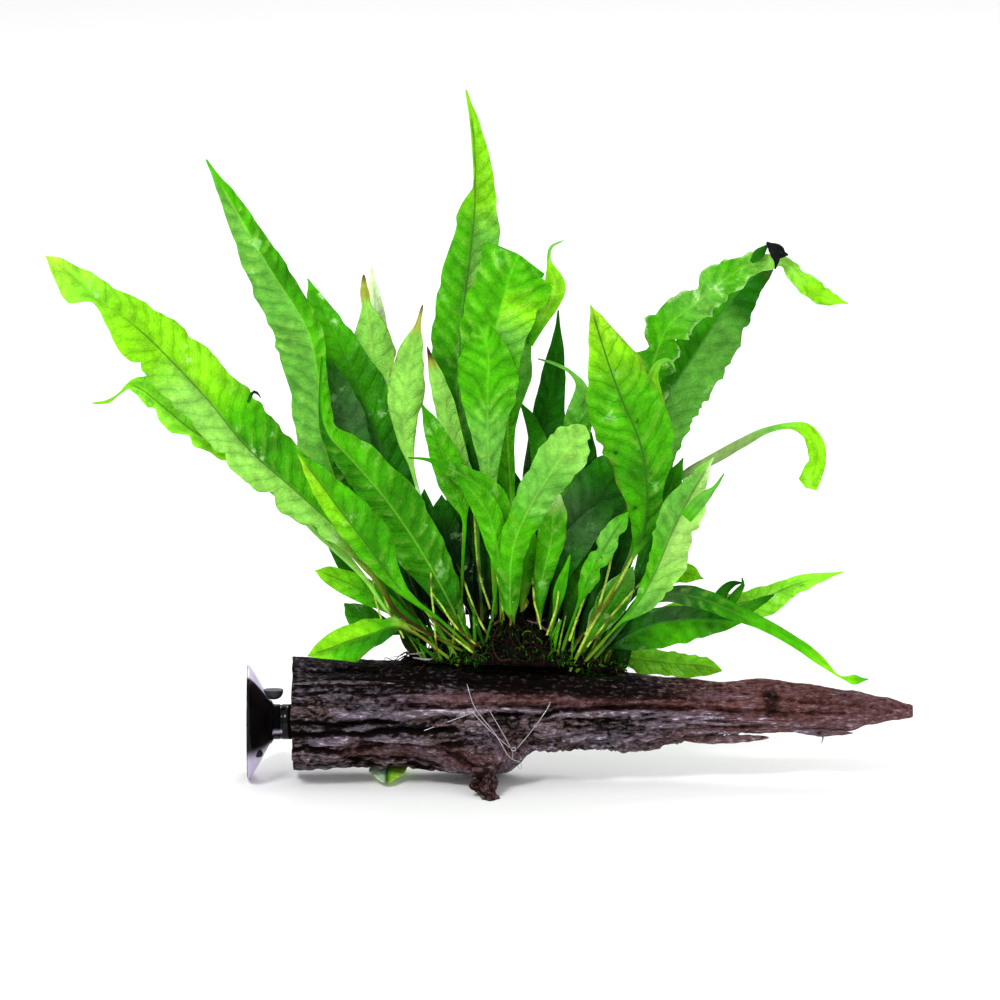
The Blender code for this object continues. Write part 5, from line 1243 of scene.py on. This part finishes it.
def bladePart(leaf, centre, across, behind, gone, left, right, seed):
    # a closed blade on a grid from its left edge over the midrib to its right edge
    share, mean = gone / gone[-1], (left + right) / 2
    isBlade = np.maximum(smoothStep(1.4, 3.4, mean), smoothStep(0.42, 0.6, share))
    halves = [halfWidths(leaf, sign, width, gone, share, isBlade, seed)
              for sign, width in ((-1, left), (1, right))]
    widest = np.maximum(*halves)
    count = int(np.clip(math.ceil(max(left.max(), right.max()) / blade["columnStep"]), *blade["columns"]))
    even = np.linspace(-1, 1, 2 * count + 1)[None, :]
    s = np.sign(even) * np.abs(even) ** 1.15
    w = np.where(s < 0, *halves) * s
    size, isRight = np.abs(w), s > 0
    isBlade, along, shares, mean = isBlade[:, None], gone[:, None], share[:, None], mean[:, None]

    # how far each point lies behind the flat: slopes of the halves, ruffles, a slow swing, swellings
    offset = np.where(s < 0, *leaf["slopes"]) * (np.sqrt(size ** 2 + 1) - 1)
    turn = 2 * math.pi * along / blade["wave"] + 10 * noise(along / 16, 1.5 + 4 * isRight, seed + 1)
    strength = leaf["ruffle"] * isBlade * np.clip(widest / 6, 0.2, 1.2)
    strength = strength * (0.3 + 1.3 * noise(along / 14, 2.5 + 4 * isRight, seed + 6))
    offset = offset + strength * np.abs(s) ** 2.5 * np.sin(turn)
    swing = noise(along / 24, 5 + 1.5 * s, seed + 2) - 0.5
    offset = offset + 1.4 * isBlade * swing * np.clip(size / 4, 0, 1.5)
    phase = along - blade["veinSlant"] * size + 2.4 * noise(along / 9, 7 + 2 * s, seed + 3)
    phase = phase / blade["veinStep"]
    blister = leaf["blister"] * np.sin(math.pi * phase) ** 2 * (1 - s ** 4)
    offset = offset - blister * smoothStep(0.2, 1.8, size) * isBlade
    mid = centre[:, None] + across[:, None] * w[..., None] + behind * offset[..., None]

    # a round stalk that turns into a thin blade with a thicker rib
    normal = np.cross(np.gradient(mid, axis=1), np.gradient(mid, axis=0))
    normal /= np.linalg.norm(normal, axis=2)[..., None] + 1e-12
    flat = blade["halfThickness"] + blade["ribSwell"] * hump(w, blade["ribWidth"]) * np.clip(mean / 5, 0.2, 1)
    flat = flat * (1 - np.abs(s) ** 8)
    thick = 0.9 * np.maximum(mean, 0.5) * np.sqrt(1 - s ** 2)
    reach = (thick * (1 - isBlade) + flat * isBlade)[..., None]

    # colour of each half, with painted shade in the fold and low down in the middle where the leaves crowd, and
    # darker on dots
    leftTone, rightTone = [toneAt(leaf[key], share)[:, None] for key in ("tones", "rightTones")]
    tone = leftTone + (rightTone - leftTone) * smoothStep(-0.8, 0.8, w)[..., None]
    shadeAndTone = 1 - 0.4 * max(0.0, -leaf["rib"]) * hump(w, leaf["valley"]) * isBlade
    for place, off, radius in leaf["dots"]:
        shadeAndTone = shadeAndTone * (1 - hump(np.hypot((shares - place) * gone[-1], w - off), radius))
    mottle = noise(along / 7, 9 + 3 * s, seed + 4) - 0.5 + 0.5 * (noise(along / 2.6, 9 + 6 * s, seed + 5) - 0.5)
    x, depth, height = centre.T[..., None]
    # painted shade low down in the middle, where the leaves crowd
    crowdShade = (1 - smoothStep(36, 84, height)) * (1 - smoothStep(30, 52, np.abs(x - 12)))
    crowdShade = crowdShade * smoothStep(-11, 3, depth)
    low = (1 - smoothStep(24, 46, height)) * (1 - smoothStep(36, 50, np.abs(x - 8)))
    shadeAndTone = shadeAndTone * (1 + 0.42 * mottle * isBlade) * (1 - leaf["paintedShadeShare"] * (0.68 * crowdShade + 0.2 * low))
    tone = np.concatenate((tone * shadeAndTone[..., None], np.ones_like(w)[..., None]), -1)
    rib = leaf["rib"] * (1 - smoothStep(leaf["ribEnd"] - 0.08, leaf["ribEnd"], shares))

    def ring(a, b):
        return np.concatenate((a, b[:, -2:0:-1]), 1)

    def bothSides(*values):
        grid = np.stack(np.broadcast_arrays(w, *values), -1)[..., 1:]
        return ring(grid, grid).reshape(-1, len(values))

    extra = {
        "tint": ring(tone, tone * (0.82, 0.86, 1.1, 1)).reshape(-1, 4), "vein": bothSides(w, phase, widest),
        "wear": bothSides(rib, leaf["spots"], leaf["edge"]),
        "marks": bothSides(leaf["bulge"], leaf["shine"], leaf["lines"])}
    verts = ring(mid + normal * reach, mid - normal * reach)
    return verts.reshape(-1, 3), tubeFaces(*verts.shape[:2]), extra


def leafRoute(leaf, rooted=True):
    # centre line and half widths, at even steps from the roots to the tip
    rows = np.array([(*row, row[-1])[:4] for row in leaf["line"]], float)
    start, lean, reach = leaf["start"], leaf["lean"], blade["footReach"]
    if rooted:
        back = reach / math.hypot(*(rows[1] - rows[0])[:2])
        foot = rows[0] + (rows[0] - rows[1]) * back
        rows = np.vstack(((*foot[:2], *rows[0, 2:]), rows))
        start -= lean * reach
    path, shares = rows[:, :2], np.linspace(0, 1, blade["fineSteps"])
    line = smoothPath(path, shares)
    walked = walkAlong(line)
    total = walked[-1]
    depth = start + lean * walked + leaf["curl"] * (walked / total) ** 2
    first = 0.0
    if rooted:
        steps = blade["lowSteps"]
        x, height, away = line[:steps, 0], line[:steps, 1], depth[:steps]
        inside = np.hypot(away, height) < moundRadius(x, np.degrees(np.arctan2(height, away)))
        if inside.any():
            first = max(0.0, walked[:steps][inside].max() - blade["sink"])
    gone = np.linspace(first, total, max(8, round((total - first) / blade["rowStep"])))
    at = np.interp(gone, walked, shares)
    middle = smoothPath(path, at)
    ahead = smoothPath(path, at + 0.01) - smoothPath(path, at - 0.01)
    ahead /= np.linalg.norm(ahead, axis=1)[:, None]
    centre = np.stack((middle[:, 0], np.interp(gone, walked, depth), middle[:, 1]), -1)
    across = np.stack((ahead[:, 1], 0 * at, -ahead[:, 0]), -1)
    halves = np.maximum(smoothPath(rows[:, 2:], at), 0.3).T
    left, right = halves * (0.6 + 0.4 * smoothStep(1.0, 2.6, halves))
    return centre, across, np.array((0, 1, 0)), gone - first, left, right


def paintLeaf(name, roughness, lit=(0.48, 0.86, 0.10)):
    look, add, put = startMaterial(name, roughness)
    across, phase, half = numbersOf(add, "vein")
    rib, spots, edge = numbersOf(add, "wear")
    bulge, shine, drawn = numbersOf(add, "marks")

    def less(a, b):
        return calc(add, "SUBTRACT", a, b)

    def upAndDown(value):
        # what of a signed number is above 0, and what is below
        return calc(add, "MAXIMUM", value, 0.0), calc(add, "MAXIMUM", times(add, value, -1.0), 0.0)

    def fromVein(count):
        # 0 on a side vein, 1 half way to the next
        wave = times(add, calc(add, "FRACT", times(add, phase, count)), 2.0)
        return less(1.0, calc(add, "ABSOLUTE", less(wave, 1.0)))

    away = calc(add, "ABSOLUTE", across)
    isBlade = ease(add, half, 1.8, 3.4)
    beside = times(add, ease(add, away, 0.2, 1.4), isBlade)
    onRib = times(add, less(1.0, ease(add, away, 0.12, 0.5)), isBlade)
    mottle, grain, patches = grainNoise(add, 260.0), grainNoise(add, 1500.0, 2.0), grainNoise(add, 95.0)
    cells = add("TexVoronoi", 0, {"Vector": add("TexCoord", 3), "Scale": 560.0}, feature="DISTANCE_TO_EDGE")
    net = times(add, less(1.0, ease(add, cells, 0.02, 0.14)), isBlade)
    phase = calc(add, "ADD", phase, times(add, less(patches, 0.5), 1.3))
    wide, fine = fromVein(1.0), fromVein(4.0)
    groove = times(add, less(1.0, ease(add, wide, 0.0, 0.55)), beside)
    line = times(add, less(1.0, ease(add, wide, 0.02, 0.13)), beside, ease(add, patches, 0.36, 0.6), drawn)
    fineLine = times(add, less(1.0, ease(add, fine, 0.1, 0.5)), beside)
    top = times(add, ease(add, wide, 0.45, 1.0), ease(add, patches, 0.42, 0.62), bulge, beside)
    # painted glints: pale patches where the leaf looks wet
    paintedGlint = times(add, ease(add, patches, 0.56, 0.68), ease(add, mottle, 0.52, 0.62), shine, isBlade)
    paleRib, darkRib = upAndDown(rib)
    brownEdge, paleEdge = upAndDown(edge)
    spotAt = less(mottle, less(0.80, times(add, spots, 0.22)))
    spot = times(add, ease(add, spotAt, -0.02, 0.03), ease(add, spots, 0.0, 0.1))
    rim = calc(add, "ADD", calc(add, "DIVIDE", away, half), times(add, less(mottle, 0.5), 0.8))

    # a darker copy of the tint for painted shade in the grooves and for the fine veins, and a paler one for
    # painted highlights on the swellings and for pale veins
    tint = mottled(add, add("Attribute", 0, attribute_name="tint"), mottle, 0.76, 1.22)
    shadeAndTone = mixColour(add, 1.0, tint, (0.42, 0.58, 0.5), "MULTIPLY")
    light = mixColour(add, 0.6, tint, lit)
    put(specular=0.05, colour=layered(
        add, tint,
        (times(add, groove, bulge, 0.55), shadeAndTone),                       # painted shade in the grooves beside the side veins
        (times(add, top, 0.55), light),                                 # painted highlight on the swellings between them
        (times(add, net, 0.14), shadeAndTone),
        (times(add, fineLine, 0.08), shadeAndTone),
        (paintedGlint, (0.50, 0.80, 0.34)),
        (times(add, line, calc(add, "ADD", darkRib, 0.2)), (0.02, 0.12, 0.01)),     # the side veins
        (times(add, line, paleRib), light),
        (times(add, onRib, calc(add, "ADD", 0.1, darkRib)), (0.035, 0.13, 0.01)),   # the midrib
        (times(add, onRib, paleRib, 0.8), light),
        (spot, (0.10, 0.055, 0.015)),
        (times(add, ease(add, rim, 0.86, 1.05), brownEdge), (0.16, 0.07, 0.02)),
        (times(add, ease(add, rim, 0.78, 1.0), paleEdge), (0.55, 0.78, 0.34))))
    height = weighed(add, (grain, 0.4), (net, -0.4), (groove, -0.9), (fineLine, -0.35), (mottle, 1.1))
    put(normal=bumpFrom(add, height, 0.7, 0.0004),
        roughness=remap(add, mottle, roughness - 0.14, roughness + 0.12))
    return look


underLeaf = dict(
    # the leaf that hangs down the back of the wood and comes out under it, as (x, angle, lift), and its end
    turns=[(-21, 24, 2.4), (-24, 0, 2.0), (-28, -30, 2.0), (-31, -62, 2.0), (-33, -90, 2.2)],
    end=(-33, -9.5, -24.6), widths=[1.2, 1.4, 4.0, 6.0, 6.0, 1.5],
    # its tones are brightened against the shade of the wood above it: painted light
    tones="olive grass fresh white*3", rightTones="olive grass fresh sunlit*3",
    slopes=(0.06, 0.06), ruffle=0.35, blister=0.15, rib=-2.2, valley=1.0, tip=1.5, paintedShadeShare=0,
    steps=56, seed=900,
)


def underLeafPart():
    path = []
    for x, angle, lift in underLeaf["turns"]:
        radius = woodRadius(np.array(float(x)), np.array(float(angle % 360))) + lift
        path.append(onAxis(x, angle, radius))
    shares = np.linspace(0, 1, underLeaf["steps"])
    centre = smoothPath(path + [underLeaf["end"]], shares)
    across = np.tile((1.0, 0, 0), (len(shares), 1))
    ahead = np.gradient(centre, axis=0)
    ahead /= np.linalg.norm(ahead, axis=1)[:, None]
    width = smoothPath(underLeaf["widths"], shares)[:, 0]
    behind = np.cross(ahead, across)[:, None]
    leaf = {**blade["usual"], **underLeaf}
    return bladePart(leaf, centre, across, behind, walkAlong(centre), width, width, leaf["seed"])


shadeBlades = dict(
    # short blades painted dark as shade between the stalks of one inner leaf, so no light comes through low
    # down
    leaf="inner_centre", count=30, seed=61, fromX=-24, toX=50,
    tones=["deep forest deep", "deep deep forest", "deep forest grass", "olive deep forest"],
)


def shadeBladeRows():
    draw = np.random.RandomState(shadeBlades["seed"])
    rows = []
    for _ in range(shadeBlades["count"]):
        x = draw.uniform(shadeBlades["fromX"], shadeBlades["toX"])
        foot = moundRadius(np.array(x), np.array(90.0)) - 3
        tall = draw.uniform(14, 30) + 16 * math.exp(-((x - 24) / 20) ** 2)
        if -15 < x < 0:
            tall = draw.uniform(6, 11)                              # low ones at the left of the middle
        lean = draw.uniform(-0.25, 0.25) + 0.012 * (x - 12)
        wide = draw.uniform(1.8, 4.2)
        tones = shadeBlades["tones"][draw.randint(len(shadeBlades["tones"]))]
        line = [(x, foot, 1.2), (x + 0.4 * lean * tall, foot + 0.4 * tall, wide),
                (x + lean * tall, foot + tall, 0.6)]
        rows.append(dict(line=line, start=draw.uniform(-3, 11), tones=tones))
    return rows


def dressLeaves():
    looks = {name: paintLeaf(name + "_blade", *look) for name, look in blade["looks"].items()}
    for number, (name, row) in enumerate(leaves.items()):
        seed = blade["firstSeed"] + blade["seedStep"] * number
        leaf = {**blade["usual"], "rightTones": row["tones"], **row}
        parts = [bladePart(leaf, *leafRoute(leaf), seed)]
        more = shadeBladeRows() if name == shadeBlades["leaf"] else []
        for i, lobe in enumerate(leaf["lobes"] + more):
            lobe = {**leaf, "lean": 0, "curl": 0, "rightTones": lobe["tones"], **lobe}
            parts.append(bladePart(lobe, *leafRoute(lobe, rooted=False), seed + 5 + i))
        addPiece("blade_" + name, parts, looks[row["slot"]], "leaf_" + name, sharpDeg=blade["sharpDeg"])
    addPiece("blade_under_log", [underLeafPart()], looks["middle"], "leaf_under_log",
             sharpDeg=blade["sharpDeg"])


dressLeaves()
